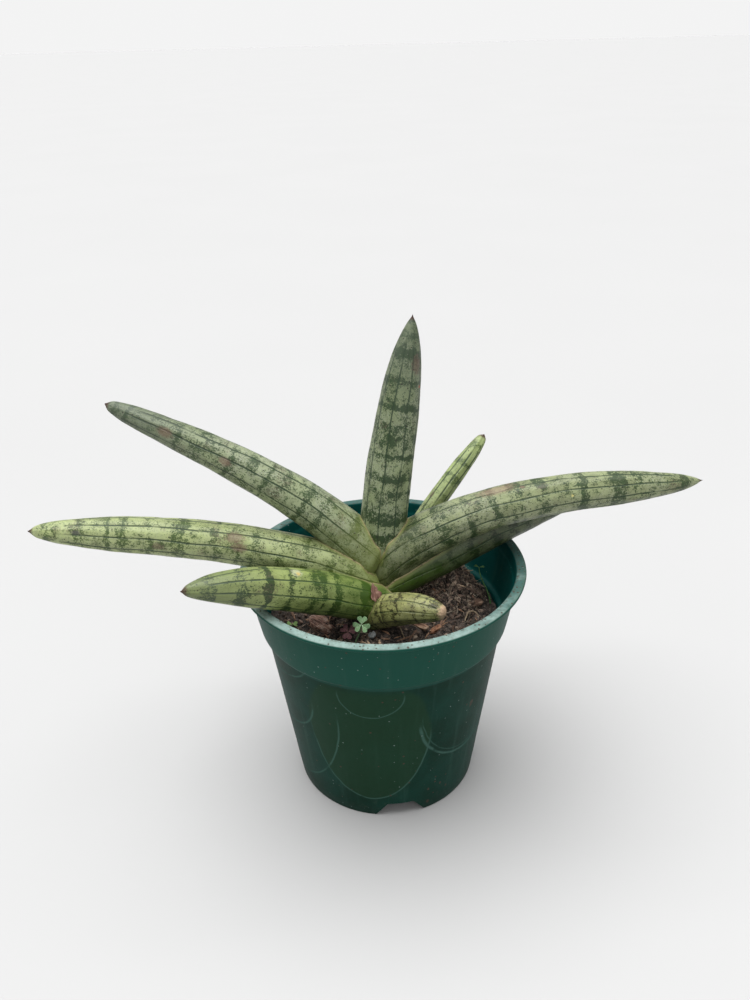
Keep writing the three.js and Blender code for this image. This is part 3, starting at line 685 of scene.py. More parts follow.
# %% The look of each leaf
LEAF_LOOKS = {
    "leaf_centre_upright": dict(
        pale=(0.22, 0.265, 0.135), deep=(0.015, 0.044, 0.009), bands=1.15, band_gap=11.5, dust=0.6,
        foot_tint=(0.2, 0.23, 0.045), foot_reach=0.33, grime=0.4, seed=1.0, speckle=0.4, dusk=0.6,
        grey=(0.29, 0.31, 0.24),
        marks=((-9.0, -2.0, 129.3, 1.0, 1.0, (0.5, 0.05, 0.04)),
               (-7.7, 0.9, 140.0, 3.6, 1.8, (0.10, 0.06, 0.045)))),
    "leaf_upper_left": dict(
        pale=(0.265, 0.31, 0.17), deep=(0.028, 0.06, 0.015), bands=0.7, band_gap=12.0, dust=0.7,
        foot_tint=(0.14, 0.17, 0.04), foot_reach=0.3, grime=0.5, seed=2.0, speckle=0.36, dusk=0.7,
        grey=(0.3, 0.32, 0.25),
        marks=((6.3, 2.6, 130.9, 3.2, 1.6, (0.14, 0.08, 0.055)),
               (8.1, 2.8, 98.3, 2.6, 1.6, (0.16, 0.10, 0.07)))),
    "leaf_upper_right": dict(
        pale=(0.235, 0.27, 0.132), deep=(0.02, 0.05, 0.01), bands=0.85, band_gap=15.0, dust=0.6,
        foot_tint=(0.036, 0.048, 0.006), foot_reach=0.32, grime=0.55, seed=3.0, speckle=0.34,
        grey=(0.3, 0.32, 0.24),
        marks=((-1.2, 10.6, 83.4, 4.6, 2.6, (0.23, 0.16, 0.105)),
               (2.4, 10.3, 90.3, 1.9, 1.7, (0.10, 0.045, 0.03)),
               (-3.5, 10.1, 96.1, 1.2, 1.5, (0.12, 0.05, 0.035)),
               (-9.5, 3.3, 119.6, 0.9, 1.0, (0.55, 0.48, 0.16)))),
    "leaf_lower_left": dict(
        pale=(0.335, 0.39, 0.17), deep=(0.042, 0.082, 0.015), bands=0.7, band_gap=13.0, dust=0.5,
        foot_tint=(0.1, 0.13, 0.016), foot_reach=0.38, grime=0.5, seed=4.0, speckle=0.34,
        grey=(0.33, 0.36, 0.23),
        marks=((7.0, 7.8, 93.8, 3.6, 1.8, (0.17, 0.105, 0.075)),
               (9.5, 3.9, 91.4, 3.2, 1.6, (0.15, 0.09, 0.065)),
               (9.8, 0.0, 131.3, 2.6, 1.6, (0.12, 0.085, 0.055)),
               (6.3, 3.5, 171.8, 1.4, 2.4, (0.09, 0.085, 0.085)))),
    "leaf_lower_right": dict(
        pale=(0.06, 0.082, 0.032), deep=(0.007, 0.02, 0.003), bands=0.95, band_gap=12.0, dust=0.35,
        foot_tint=(0.055, 0.105, 0.009), foot_reach=0.5, grime=0.35, seed=5.0, speckle=0.3,
        grey=(0.2, 0.23, 0.16)),
    "leaf_front_left": dict(
        pale=(0.25, 0.305, 0.095), deep=(0.014, 0.04, 0.004), bands=1.25, band_gap=14.0, dust=0.3, dusk=0.5,
        foot_tint=(0.042, 0.095, 0.005), foot_reach=0.7, grime=0.4, seed=6.0, speckle=0.26,
        grey=(0.3, 0.35, 0.17),
        marks=((1.9, 10.4, 71.6, 3.3, 1.1, (0.46, 0.48, 0.32)),
               (2.9, 10.2, 71.0, 1.5, 1.0, (0.5, 0.32, 0.07)))),
    "leaf_front_stub": dict(
        pale=(0.26, 0.27, 0.095), deep=(0.036, 0.034, 0.011), bands=1.3, band_gap=5.2, dust=0.35,
        foot_tint=(0.08, 0.10, 0.02), grime=0.6, seed=7.0, speckle=0.2, grey=(0.34, 0.34, 0.22),
        tip_colour=(0.42, 0.29, 0.19), ink=0.5),
    "leaf_young_right": dict(
        pale=(0.31, 0.38, 0.15), deep=(0.07, 0.115, 0.03), bands=0.75, band_gap=11.0, dust=0.2,
        foot_tint=(0.15, 0.2, 0.05), grime=0.3, seed=8.0, speckle=0.18,
        marks=((0.6, 5.2, 65.7, 1.6, 1.6, (0.09, 0.05, 0.03)),)),
}

inner = []
for name, size in LEAVES.items():
    look = LEAF_LOOKS[name]
    full_length = float(size["length"] + size.get("back", 0.0))
    skin = leaf_skin("skin_of_" + name, lines=size["lines"], length=full_length, **look)
    leaf = grow_leaf(name + "_look", size, skin, inner)
    inner.append(leaf)
    hand_over(leaf, "leaf_skin", name)

# %% [markdown]
# ## The pot
# A nursery pot is thin plastic blown or moulded in one piece: a tapered body, a wider collar that
# lets pots stack, a rolled lip, a raised floor with drain holes and notches in the foot so that
# water can leave. The whole pot is one profile turned round its axis, so the wall, the lip's
# round edges and the little ledge inside all come from one list of radius and height. The
# notches and holes are then cut with solid cutters.

# %% Pot profile, turned
POT_PROFILE = [  # radius, height, from the middle of the underside round to the middle of the floor
    (0, 10), (12, 10), (28, 10), (44.6, 10), (46.0, 9.7), (46.6, 8.8), (46.6, 4), (46.6, 0.7), (46.9, 0.15),
    (47.4, 0), (48.8, 0), (49.4, 0.2), (49.75, 0.8), (50.9, 8.5), (51.3, 11), (53.0, 24), (55.0, 38),
    (57.1, 53), (59.2, 68), (61.2, 82), (62.9, 94), (63.35, 97.0), (63.6, 98.3), (64.1, 98.9),
    (65.2, 99.3), (65.8, 99.7), (66.1, 100.5), (66.5, 102.4), (67.4, 107), (68.4, 112.5), (69.5, 118.4),
    (70.4, 123.2), (71.0, 126.4), (71.25, 127.3), (71.7, 127.75), (72.6, 127.85), (74.0, 127.8),
    (74.55, 127.9), (74.9, 128.25), (75.0, 128.7), (74.95, 129.2), (74.7, 129.65), (74.2, 129.93),
    (73.4, 130.0), (71.6, 130.0), (70.7, 129.95), (70.15, 129.7), (69.8, 129.3), (69.55, 128.5),
    (69.1, 124.6), (68.9, 123.6), (68.55, 123.1), (68.3, 122.6), (67.9, 120.6), (66.9, 115.3), (65.9, 110),
    (64.9, 104.7), (64.5, 102.5), (64.2, 101.7), (63.7, 101.3), (62.6, 101.0), (62.0, 100.5),
    (61.75, 99.7), (61.4, 97.4), (59.9, 86.5), (57.9, 72), (55.9, 58), (53.8, 43), (51.8, 29),
    (50.0, 16), (49.5, 13.6), (48.8, 12.4), (47.6, 11.9), (44, 11.8), (28, 11.8), (12, 11.8), (0, 11.8),
]
POT_TURNS = 216


def turned(profile, turns):
    """Points and faces of a profile, whose two ends lie on the axis, turned round the pot's axis."""
    ring = [p for p in profile if p[0] > 0]
    points, faces = [], []
    for radius, height in ring:
        for k in range(turns):
            turn = 2 * math.pi * k / turns
            points.append((POT_X + radius * MM * math.cos(turn),
                           POT_Y + radius * MM * math.sin(turn), height * MM))
    for j in range(len(ring) - 1):
        for k in range(turns):
            a, b = j * turns + k, j * turns + (k + 1) % turns
            faces.append((a, b, b + turns, a + turns))
    first, last = len(points), len(points) + 1
    points.append((POT_X, POT_Y, profile[0][1] * MM))
    points.append((POT_X, POT_Y, profile[-1][1] * MM))
    top = (len(ring) - 1) * turns
    for k in range(turns):
        faces.append((first, (k + 1) % turns, k))
        faces.append((last, top + k, top + (k + 1) % turns))
    return points, faces


def prism(outline, place, depth):
    """A closed cutter: an outline of (x, y) points pushed through depth, then put in place."""
    bm = bmesh.new()
    bottom = [bm.verts.new((x, y, 0)) for x, y in outline]
    base = bm.faces.new(bottom)
    lifted = bmesh.ops.extrude_face_region(bm, geom=[base])["geom"]
    bmesh.ops.translate(bm, vec=(0, 0, depth), verts=[v for v in lifted if isinstance(v, bmesh.types.BMVert)])
    bmesh.ops.recalc_face_normals(bm, faces=bm.faces)
    bm.transform(place)
    return bm


NOTCHES = (8, 128, 248)  # degrees from the front, towards +x
DRAIN_RING, DRAIN_RADIUS = 37.6, 4.5


def notch_outline():
    """Half widths of the notch by height, with rounded top corners, in metres."""
    side = [(14.4, -2.0), (13.5, 0.0), (10.4, 4.6), (8.2, 7.9), (7.6, 8.8), (6.9, 9.3), (6.0, 9.5)]
    outline = [(x * MM, z * MM) for x, z in side]
    return outline + [(-x, z) for x, z in reversed(outline)]


NOTCH_FROM, NOTCH_DEPTH = 40.0, 14.0  # where a cutter starts and how long it is
DRAIN_HOLES, DRAIN_FROM, DRAIN_DEPTH = 6, 6.0, 10.0


def make_pot():
    points, faces = turned(POT_PROFILE, POT_TURNS)
    pot = new_object("pot_body", mesh_from("pot_body", points, faces))
    cutter = bpy.data.meshes.new("pot_cutters")
    whole = bmesh.new()
    axis = Matrix.Translation((POT_X, POT_Y, 0))
    stand = Matrix.Rotation(math.radians(90), 4, "X")
    cutters = []
    for degrees in NOTCHES:
        turn = Matrix.Rotation(math.radians(degrees), 4, "Z")
        place = axis @ turn @ Matrix.Translation((0, -NOTCH_FROM * MM, 0)) @ stand
        cutters.append(prism(notch_outline(), place, NOTCH_DEPTH * MM))
    for k in range(DRAIN_HOLES):
        turn = Matrix.Rotation(math.radians(360 / DRAIN_HOLES * k), 4, "Z")
        circle = [(DRAIN_RADIUS * MM * math.cos(a), DRAIN_RADIUS * MM * math.sin(a))
                  for a in (2 * math.pi * i / 40 for i in range(40))]
        place = axis @ turn @ Matrix.Translation((0, -DRAIN_RING * MM, DRAIN_FROM * MM))
        cutters.append(prism(circle, place, DRAIN_DEPTH * MM))
    for piece in cutters:
        part = bpy.data.meshes.new("part")
        piece.to_mesh(part)
        whole.from_mesh(part)
        piece.free()
        bpy.data.meshes.remove(part)
    whole.to_mesh(cutter)
    whole.free()
    tool = new_object("pot_cutters", cutter)
    cut = pot.modifiers.new("cut", "BOOLEAN")
    cut.operation, cut.solver, cut.object = "DIFFERENCE", "EXACT", tool
    made = baked(pot, "pot_body")
    bpy.data.objects.remove(tool)
    made.data.polygons.foreach_set("use_smooth", [True] * len(made.data.polygons))
    sharp = bmesh.new()
    sharp.from_mesh(made.data)
    for edge in sharp.edges:
        if len(edge.link_faces) == 2 and edge.calc_face_angle(0) > math.radians(38):
            edge.smooth = False
    sharp.to_mesh(made.data)
    sharp.free()
    return made


pot_look = make_pot()
print("pot has", len(pot_look.data.polygons), "faces")

# %% [markdown]
# ## Pot plastic
# The plastic is dark green and thin. Years of watering leave it matt with dust: fine specks,
# dried drops, long faint scratches that loop where pots rubbed together, and a pale chalky film
# on the upward face of the lip. Light is painted in too: partly the lighter collar, a highlight line
# on the collar's step, sheen in faint streaks down the wall, and a highlight on the lip that is
# brightest at the front left. The recipe reads the angle round the pot and the height.


# %% What every step of the plastic reads
COLLAR_FOOT = 97.0  # heights in millimetres
DEGREES_TO_MM = 57.0  # the mean radius of the wall, which turns an angle into a place round the pot


class PotPlaces:
    """Places on the pot from its axis, in millimetres, which way it faces, and two noises."""

    def __init__(self, w):
        axis = (POT_X, POT_Y, 0.0)
        spot = w.vector("SUBTRACT", w.add("ShaderNodeTexCoord").outputs["Object"], axis)
        self.w = w
        self.spot = w.scaled(spot, MM_PER_METRE)
        x, y, self.z = w.parts(self.spot)
        self.radius = w.sum("SQRT", w.plus(w.times(x, x), w.times(y, y)))
        self.turn = w.sum("ARCTAN2", x, w.times(y, -1.0))  # 0 at the front, growing towards +x
        self.around = w.times(self.turn, DEGREES_TO_MM)
        to_right, to_back, self.facing_up = w.parts(w.add("ShaderNodeNewGeometry").outputs["Normal"])
        outward = w.plus(w.times(x, to_right), w.times(y, to_back))
        self.outside = w.ease(w.over(outward, w.plus(self.radius, 0.001)), -0.1, 0.3)
        self.soft = w.noise(self.spot, 0.035, 4.0, 0.6)
        self.fine = w.noise(self.spot, 0.5, 4.0, 0.65)

    def moved(self, x, y, z):
        return self.w.vector("ADD", self.spot, (x, y, z))


# %% The plastic itself
def wall_tone(w, at):
    """Dark green, bluer inside, with a lighter collar that is partly painted light from above, a painted
    highlight line along the collar's step and painted sheen in faint streaks down the wall.
    """
    tone = w.blend(w.ease(at.soft, 0.3, 0.7), colour(0.002, 0.022, 0.013), colour(0.004, 0.036, 0.025))
    tone = w.blend(w.times(w.ease(at.fine, 0.45, 0.75), 0.2), tone, colour(0.012, 0.055, 0.040))
    # Partly painted light: the collar is a lighter green partly for the light that falls on it from above.
    collar = w.ease(at.z, COLLAR_FOOT, COLLAR_FOOT + 4.0)
    tone = w.blend(w.times(collar, 0.8), tone, colour(0.009, 0.066, 0.047))
    # Painted highlight: a lighter line along the collar's step, where the ledge catches the light.
    from_below = w.ease(at.z, COLLAR_FOOT - 1.4, COLLAR_FOOT - 0.2)
    from_above = w.ease(at.z, COLLAR_FOOT + 2.4, COLLAR_FOOT + 1.2)
    painted_step_highlight = w.times(w.times(from_below, from_above), at.outside)
    tone = w.blend(w.times(painted_step_highlight, 0.5), tone, colour(0.02, 0.085, 0.068))
    inside = w.times(w.less(1.0, at.outside), w.ease(at.z, 60.0, 70.0))
    tone = w.blend(w.times(inside, 0.9), tone, colour(0.001, 0.052, 0.048))
    # Painted sheen: faint light streaks down the wall stand in for reflections on the plastic.
    painted_sheen_streak = w.noise(w.xyz(w.times(at.turn, 9.0), 3.0, w.times(at.z, 0.012)), 1.0, 4.0, 0.6)
    return w.blend(w.times(w.ease(painted_sheen_streak, 0.52, 0.72), 0.3), tone, colour(0.03, 0.08, 0.062))


# %% Loops of scratches
POT_LOOPS = [  # place round the pot and up it, half width and half height, thickness, strength
    (-9.5, 60, 32, 46, 0.8, 0.8), (-62, 106, 26, 19.5, 0.8, 0.9), (-66, 76, 28, 26, 0.9, 0.9),
    (-66, 70, 42, 58, 0.8, 0.9), (50, 68, 33, 31, 1.2, 1.0), (50, 72.5, 32, 33, 0.5, 0.6),
    (-7, 92, 15.5, 14.5, 0.6, 0.7), (112, 54, 38, 45, 0.9, 0.9), (165, 50, 24, 30, 0.6, 0.7),
    (-130, 52, 30, 42, 0.8, 0.9), (-165, 30, 12, 16, 0.6, 0.7),
]


def pot_loops(w, at, tone):
    """Thin lower halves of ellipses; inside the largest the wall is more olive, from damp soil."""
    wobble = w.times(w.less(w.noise(at.spot, 0.05, 2.0), 0.5), 3.0)
    across, upward = w.plus(at.around, wobble), w.plus(at.z, wobble)

    def from_loop(u, v, wide, high):
        """How far out from the loop's middle, where 1 is the loop, and how high in it."""
        du = w.over(w.less(across, u), wide)
        dv = w.over(w.less(upward, v), high)
        far = w.sum("SQRT", w.plus(w.times(du, du), w.times(dv, dv)))
        gu, gv = w.over(du, wide), w.over(dv, high)
        steep = w.sum("SQRT", w.plus(w.times(gu, gu), w.times(gv, gv)))
        gap = w.over(w.times(w.sum("ABSOLUTE", w.less(far, 1.0)), far), w.plus(steep, 0.0001))
        return far, dv, gap

    far, _, _ = from_loop(*POT_LOOPS[0][:4])
    damp = w.times(w.times(w.ease(far, 1.04, 0.96), w.ease(at.z, 99.0, 92.0)), at.outside)
    tone = w.blend(w.times(damp, 0.75), tone, colour(0.0095, 0.036, 0.016))

    loops = None
    for (u, v, wide, high, thick, strength) in POT_LOOPS:
        _, dv, gap = from_loop(u, v, wide, high)
        mask = w.times(w.times(w.ease(gap, thick, thick * 0.15), strength), w.ease(dv, 0.15, -0.2))
        loops = mask if loops is None else w.sum("MAXIMUM", loops, mask)
    gaps = w.ease(w.noise(at.spot, 0.12, 3.0), 0.3, 0.48)
    loops = w.times(w.times(loops, w.plus(0.25, w.times(gaps, 0.75))), at.outside)
    loops = w.times(loops, w.ease(at.z, 99.0, 97.5))
    return w.blend(w.times(loops, 0.6), tone, colour(0.06, 0.13, 0.108)), loops


# %% Dirt on the wall, and dirt and a painted highlight on the lip
POT_STAINS = [  # place round the pot and up it, size
    (48.5, 68, 1.8), (25, 16, 0.9), (33, 17, 0.8), (25.3, 5.5, 1.3),
    (29, 24, 0.7), (38, 12, 0.8), (-120, 20, 1.2),
]


def pot_stains(w, at, tone):
    """Stuck crumbs of soil and brown stains."""
    for (u, v, size) in POT_STAINS:
        du, dv = w.less(at.around, u), w.times(w.less(at.z, v), 0.75)
        far = w.sum("SQRT", w.plus(w.times(du, du), w.times(dv, dv)))
        near = w.plus(far, w.times(w.less(at.fine, 0.5), size * 2.2))
        stain = w.times(w.ease(near, size, size * 0.5), at.outside)
        tone = w.blend(w.times(stain, 0.85), tone, colour(0.06, 0.042, 0.032))
    return tone


def pot_dust(w, at, tone):
    """Dust specks and soil specks of many sizes, and splashes low down."""
    dust = w.cells(at.moved(3.0, 5.0, 1.0), 0.42)
    lucky = w.parts(dust.outputs["Color"])[0]
    span = w.times(w.parts(dust.outputs["Color"])[1], 0.16)
    speck = w.times(w.ease(w.less(dust.outputs["Distance"], span), 0.04, 0.0), w.ease(lucky, 0.8, 0.84))
    tone = w.blend(w.times(speck, 0.5), tone, colour(0.22, 0.29, 0.27))
    soil = w.cells(at.moved(31.0, 15.0, 11.0), 0.30)
    unlucky = w.parts(soil.outputs["Color"])[1]
    lump = w.times(w.parts(soil.outputs["Color"])[0], 0.17)
    crumb = w.times(w.ease(w.less(soil.outputs["Distance"], lump), 0.05, 0.0), w.ease(unlucky, 0.74, 0.78))
    tone = w.blend(w.times(crumb, 0.75), tone, colour(0.055, 0.038, 0.026))
    low = w.times(w.ease(at.z, 30.0, 2.0), at.outside)
    splash = w.times(w.ease(w.noise(at.spot, 0.22, 5.0, 0.75), 0.54, 0.7), low)
    return w.blend(w.times(splash, 0.25), tone, colour(0.06, 0.07, 0.05)), speck, crumb


def pot_lip(w, at, tone):
    """The lip's upward face: a chalky film of dust with a painted highlight that is brightest towards the
    front left, patchy grime, darker patches along the inner edge, and stuck grit.
    """
    lip = w.times(w.ease(at.z, 129.2, 129.8), w.ease(at.facing_up, 0.35, 0.9))
    # Painted highlight: the pale film grows towards the front left, where light glances off the lip; the rest
    # of it is chalky dust.
    highlight_to_front = w.times(w.sum("COSINE", w.plus(at.turn, 0.5)), 0.34)
    patch = w.ease(w.plus(w.noise(at.spot, 0.1, 3.0), highlight_to_front), 0.36, 0.84)
    chalk_and_highlight = w.times(lip, w.plus(0.18, w.times(patch, 0.72)))
    tone = w.blend(w.times(chalk_and_highlight, 0.85), tone, colour(0.29, 0.39, 0.36))
    corner = w.times(w.ease(at.radius, 72.1, 70.9), w.ease(at.z, 127.6, 128.6))
    grime = w.times(w.ease(w.noise(at.spot, 0.55, 4.0, 0.75), 0.46, 0.6), w.plus(0.35, w.times(corner, 0.6)))
    tone = w.blend(w.times(w.times(grime, lip), 0.75), tone, colour(0.06, 0.055, 0.04))
    stuck = w.cells(at.moved(9.0, 2.0, 5.0), 0.5)
    number = w.parts(stuck.outputs["Color"])
    to_right = w.plus(0.5, w.times(w.sum("SINE", at.turn), 0.32))
    ragged_far = w.plus(stuck.outputs["Distance"], w.times(w.less(at.fine, 0.5), 0.3))
    grit = w.ease(w.less(ragged_far, w.times(number[0], 0.3)), 0.06, 0.0)
    grit = w.times(grit, w.sum("LESS_THAN", number[1], to_right))
    grit = w.times(grit, w.times(w.ease(at.z, 127.5, 128.5), w.ease(at.facing_up, 0.1, 0.5)))
    return w.blend(w.times(grit, 0.85), tone, colour(0.05, 0.034, 0.024)), chalk_and_highlight


# %% The plastic put together
def pot_plastic(w):
    at = PotPlaces(w)
    tone, loops = pot_loops(w, at, wall_tone(w, at))
    tone, speck, crumb = pot_dust(w, at, pot_stains(w, at, tone))
    tone, chalk_and_highlight = pot_lip(w, at, tone)
    height = w.plus(w.times(at.fine, 0.05), w.times(w.noise(at.spot, 2.4, 2.0), 0.04))
    height = w.plus(height, w.times(w.plus(speck, crumb), 0.12))
    height = w.plus(height, w.times(loops, 0.05))
    rough = w.plus(0.4, w.times(at.fine, 0.14))
    rough = w.plus(rough, w.times(w.plus(chalk_and_highlight, w.plus(speck, loops)), 0.2))
    return tone, rough, height, MM


hand_over(pot_look, "pot_plastic", "pot",
          material=finish_material("pot_plastic", pot_plastic, relief=0.6, shine=0.07))

# %% [markdown]
# ## The soil
# Potting mix is dark and crumbly: composted bark, peat fibres and a few chips. Its surface has
# four low humps, the tallest where the right leaves lift the roots. The body of the soil is one
# closed mesh that fills the pot, its top rough at two scales.

# %% Soil body
SOIL_HUMPS = [(2, -12, 27, 10), (38, 9, 15, 22), (-40, 10, 20, 3), (20, 40, 24, 4)]
SOIL_LEVEL = 97.0
SOIL_EDGE = 61.15
SOIL_WALL = [(61.0, 96.2), (59.2, 84), (56.7, 66), (53.7, 45), (50.7, 24),
             (49.3, 14), (48.2, 12.6), (46.0, 12.1), (22.0, 12.1)]


def soil_height(x, y):
    """Height of the soil in millimetres, by place from the pot's axis in millimetres."""
    height = SOIL_LEVEL
    for hx, hy, reach, rise in SOIL_HUMPS:
        height += rise * math.exp(-((x - hx) ** 2 + (y - hy) ** 2) / reach ** 2)
    height += 0.9 * math.sin(0.31 * x + 1.3) * math.cos(0.27 * y)
    return height + 0.6 * math.sin(0.55 * x - 0.43 * y + 0.4)


def clods(x, y):
    """The rough surface on top of the plain height."""
    spot = Vector((x, y, 4.0))
    rough = 1.5 * noise.fractal(spot * 0.16, 0.8, 2.1, 4, noise_basis="PERLIN_ORIGINAL")
    rough += 0.8 * (0.5 - noise.voronoi(spot * 0.34)[0][0])
    ball = math.exp(-((x - 40) ** 2 + (y - 7) ** 2) / 17 ** 2)
    shifted = spot * 0.27 + Vector((9, 2, 5))
    rough += 6.0 * ball * noise.fractal(shifted, 0.7, 2.1, 4, noise_basis="PERLIN_ORIGINAL")
    return rough * min(1.0, (SOIL_EDGE - math.hypot(x, y)) / 3.0 + 0.25)


def make_soil():
    rings, turns = ((150, 330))
    points, faces = [], []
    for j in range(1, rings + 1):
        radius = SOIL_EDGE * j / rings
        for k in range(turns):
            turn = 2 * math.pi * k / turns
            x, y = radius * math.cos(turn), radius * math.sin(turn)
            points.append((POT_X + x * MM, POT_Y + y * MM, (soil_height(x, y) + clods(x, y)) * MM))
    for radius, height in SOIL_WALL:
        for k in range(turns):
            turn = 2 * math.pi * k / turns
            points.append((POT_X + radius * MM * math.cos(turn),
                           POT_Y + radius * MM * math.sin(turn), height * MM))
    total = rings + len(SOIL_WALL)
    for j in range(total - 1):
        for k in range(turns):
            a, b = j * turns + k, j * turns + (k + 1) % turns
            faces.append((a, a + turns, b + turns, b))
    top, bottom = len(points), len(points) + 1
    points.append((POT_X, POT_Y, (soil_height(0, 0) + clods(0, 0)) * MM))
    points.append((POT_X, POT_Y, SOIL_WALL[-1][1] * MM))
    last = (total - 1) * turns
    for k in range(turns):
        faces.append((top, k, (k + 1) % turns))
        faces.append((bottom, last + (k + 1) % turns, last + k))
    return new_object("soil_body", mesh_from("soil_body", points, faces))


soil_look = make_soil()


def earth(name, dark, mid, light):
    """A crumbly ground: dark peat, brown bark dust and a few pale fibres."""
    def build(w):
        spot = w.place()
        coarse = w.noise(spot, 0.35, 5.0, 0.7)
        grain = w.noise(spot, 1.6, 4.0, 0.7)
        tone = w.blend(w.ease(coarse, 0.38, 0.66), colour(*dark), colour(*mid))
        tone = w.blend(w.times(w.ease(grain, 0.55, 0.72), 0.6), tone, colour(*light))
        bits = w.cells(spot, 1.3)
        pick = w.parts(bits.outputs["Color"])[2]
        bit = w.times(w.ease(bits.outputs["Distance"], 0.36, 0.2), w.ease(pick, 0.86, 0.88))
        tone = w.blend(w.times(bit, 0.5), tone, colour(0.17, 0.135, 0.095))
        height = w.plus(w.times(coarse, 0.5), w.times(grain, 0.5))
        return tone, w.plus(0.72, w.times(grain, 0.25)), height, MM
    return finish_material(name, build, relief=1.0, shine=0.2)


hand_over(soil_look, "potting_mix", "soil",
          material=earth("potting_mix", (0.016, 0.014, 0.013), (0.11, 0.085, 0.072), (0.42, 0.35, 0.29)))

# %% [markdown]
# ## Crumbs, splinters and fibres
# Hundreds of small bits lie on the mix. One Geometry Nodes tree, run once for each kind, scatters them over
# the soil's top: it picks places, turns and sizes a copy of one of a few shapes at
# each, and keeps a random number per copy so that the material can give each its own shade.


# %% The scatter tree
LITTER_ABOVE = 93.5  # the height of the edge of the soil's top, below which nothing lies


def scatter_tree():
    tree = bpy.data.node_groups.new("scatter", "GeometryNodeTree")
    face = tree.interface
    face.new_socket("Geometry", in_out="INPUT", socket_type="NodeSocketGeometry")
    face.new_socket("Shapes", in_out="INPUT", socket_type="NodeSocketCollection")
    for name in ("Per square metre", "Smallest", "Largest", "Tilt", "Lift", "Reach"):
        face.new_socket(name, in_out="INPUT", socket_type="NodeSocketFloat")
    face.new_socket("Seed", in_out="INPUT", socket_type="NodeSocketInt")
    face.new_socket("Paint", in_out="INPUT", socket_type="NodeSocketMaterial")
    face.new_socket("Geometry", in_out="OUTPUT", socket_type="NodeSocketGeometry")
    w = Wiring(tree)
    ask = w.add("NodeGroupInput").outputs
    rise = w.parts(w.add("GeometryNodeInputPosition").outputs[0])[2]
    place = w.vector("SUBTRACT", w.add("GeometryNodeInputPosition").outputs[0], (POT_X, POT_Y, 0.0))
    across = w.vector("LENGTH", w.vector("MULTIPLY", place, (1.0, 1.0, 0.0)))
    upward = w.times(w.sum("GREATER_THAN", rise, LITTER_ABOVE * MM), w.sum("LESS_THAN", across, ask["Reach"]))
    spread = w.add("GeometryNodeDistributePointsOnFaces", {
        "Mesh": ask["Geometry"], "Selection": upward, "Density": ask["Per square metre"],
        "Seed": ask["Seed"]}, distribute_method="RANDOM")
    spots = spread.outputs["Points"]

    def chance(kind, low, high, offset):
        made = w.add("FunctionNodeRandomValue", data_type=kind)
        sockets = [s for s in made.inputs if s.enabled]
        w.feed(sockets[0], low)
        w.feed(sockets[1], high)
        w.feed(next(s for s in sockets if s.name == "Seed"), w.plus(ask["Seed"], offset))
        return next(s for s in made.outputs if s.enabled)

    lean = chance("FLOAT_VECTOR", (-1.0, -1.0, 0.0), (1.0, 1.0, 0.0), 11.0)
    spin = chance("FLOAT", 0.0, 6.2832, 12.0)
    flip = w.xyz(w.times(w.parts(lean)[0], ask["Tilt"]), w.times(w.parts(lean)[1], ask["Tilt"]), spin)
    size = w.plus(ask["Smallest"], w.times(w.less(ask["Largest"], ask["Smallest"]),
                                           w.power(chance("FLOAT", 0.0, 1.0, 13.0), 2.2)))
    pieces = w.add("GeometryNodeCollectionInfo", {"Collection": ask["Shapes"], "Separate Children": True,
                                                  "Reset Children": True}).outputs[0]
    laid = w.add("GeometryNodeInstanceOnPoints", {"Points": spots, "Instance": pieces, "Pick Instance": True,
                                                  "Rotation": flip, "Scale": size}).outputs[0]
    lifted = w.xyz(0.0, 0.0, ask["Lift"])
    laid = w.add("GeometryNodeTranslateInstances", {"Instances": laid, "Translation": lifted,
                                                    "Local Space": False}).outputs[0]
    laid = w.add("GeometryNodeStoreNamedAttribute", {"Geometry": laid, "Name": "tint",
                                                     "Value": chance("FLOAT", 0.0, 1.0, 14.0)},
                 data_type="FLOAT", domain="INSTANCE").outputs[0]
    whole = w.add("GeometryNodeRealizeInstances", {"Geometry": laid}).outputs[0]
    whole = w.add("GeometryNodeSetMaterial", {"Geometry": whole, "Material": ask["Paint"]}).outputs[0]
    w.add("NodeGroupOutput", (whole,))
    return tree


scatter = scatter_tree()


def shape_set(name, shapes):
    made = bpy.data.collections.new(name)
    for mesh in shapes:
        made.objects.link(bpy.data.objects.new(mesh.name, mesh))
    return made


def crumb_mesh(name, seed, squash, detail=1):
    """A broken crumb one millimetre in radius: a ball pushed in and out, then flattened."""
    bm = bmesh.new()
    bmesh.ops.create_icosphere(bm, subdivisions=detail, radius=0.001)
    rng = random.Random(seed)
    shift = Vector((rng.uniform(0, 50), rng.uniform(0, 50), rng.uniform(0, 50)))
    for vertex in bm.verts:
        way = vertex.co.normalized()
        push = 1.0 + 0.55 * noise.noise(way * 1.7 + shift) + rng.uniform(-0.14, 0.14)
        pushed = (way.x * push * squash[0], way.y * push * squash[1], way.z * push * squash[2])
        vertex.co = Vector(pushed) * MM
    mesh = bpy.data.meshes.new(name)
    bm.to_mesh(mesh)
    bm.free()
    return mesh


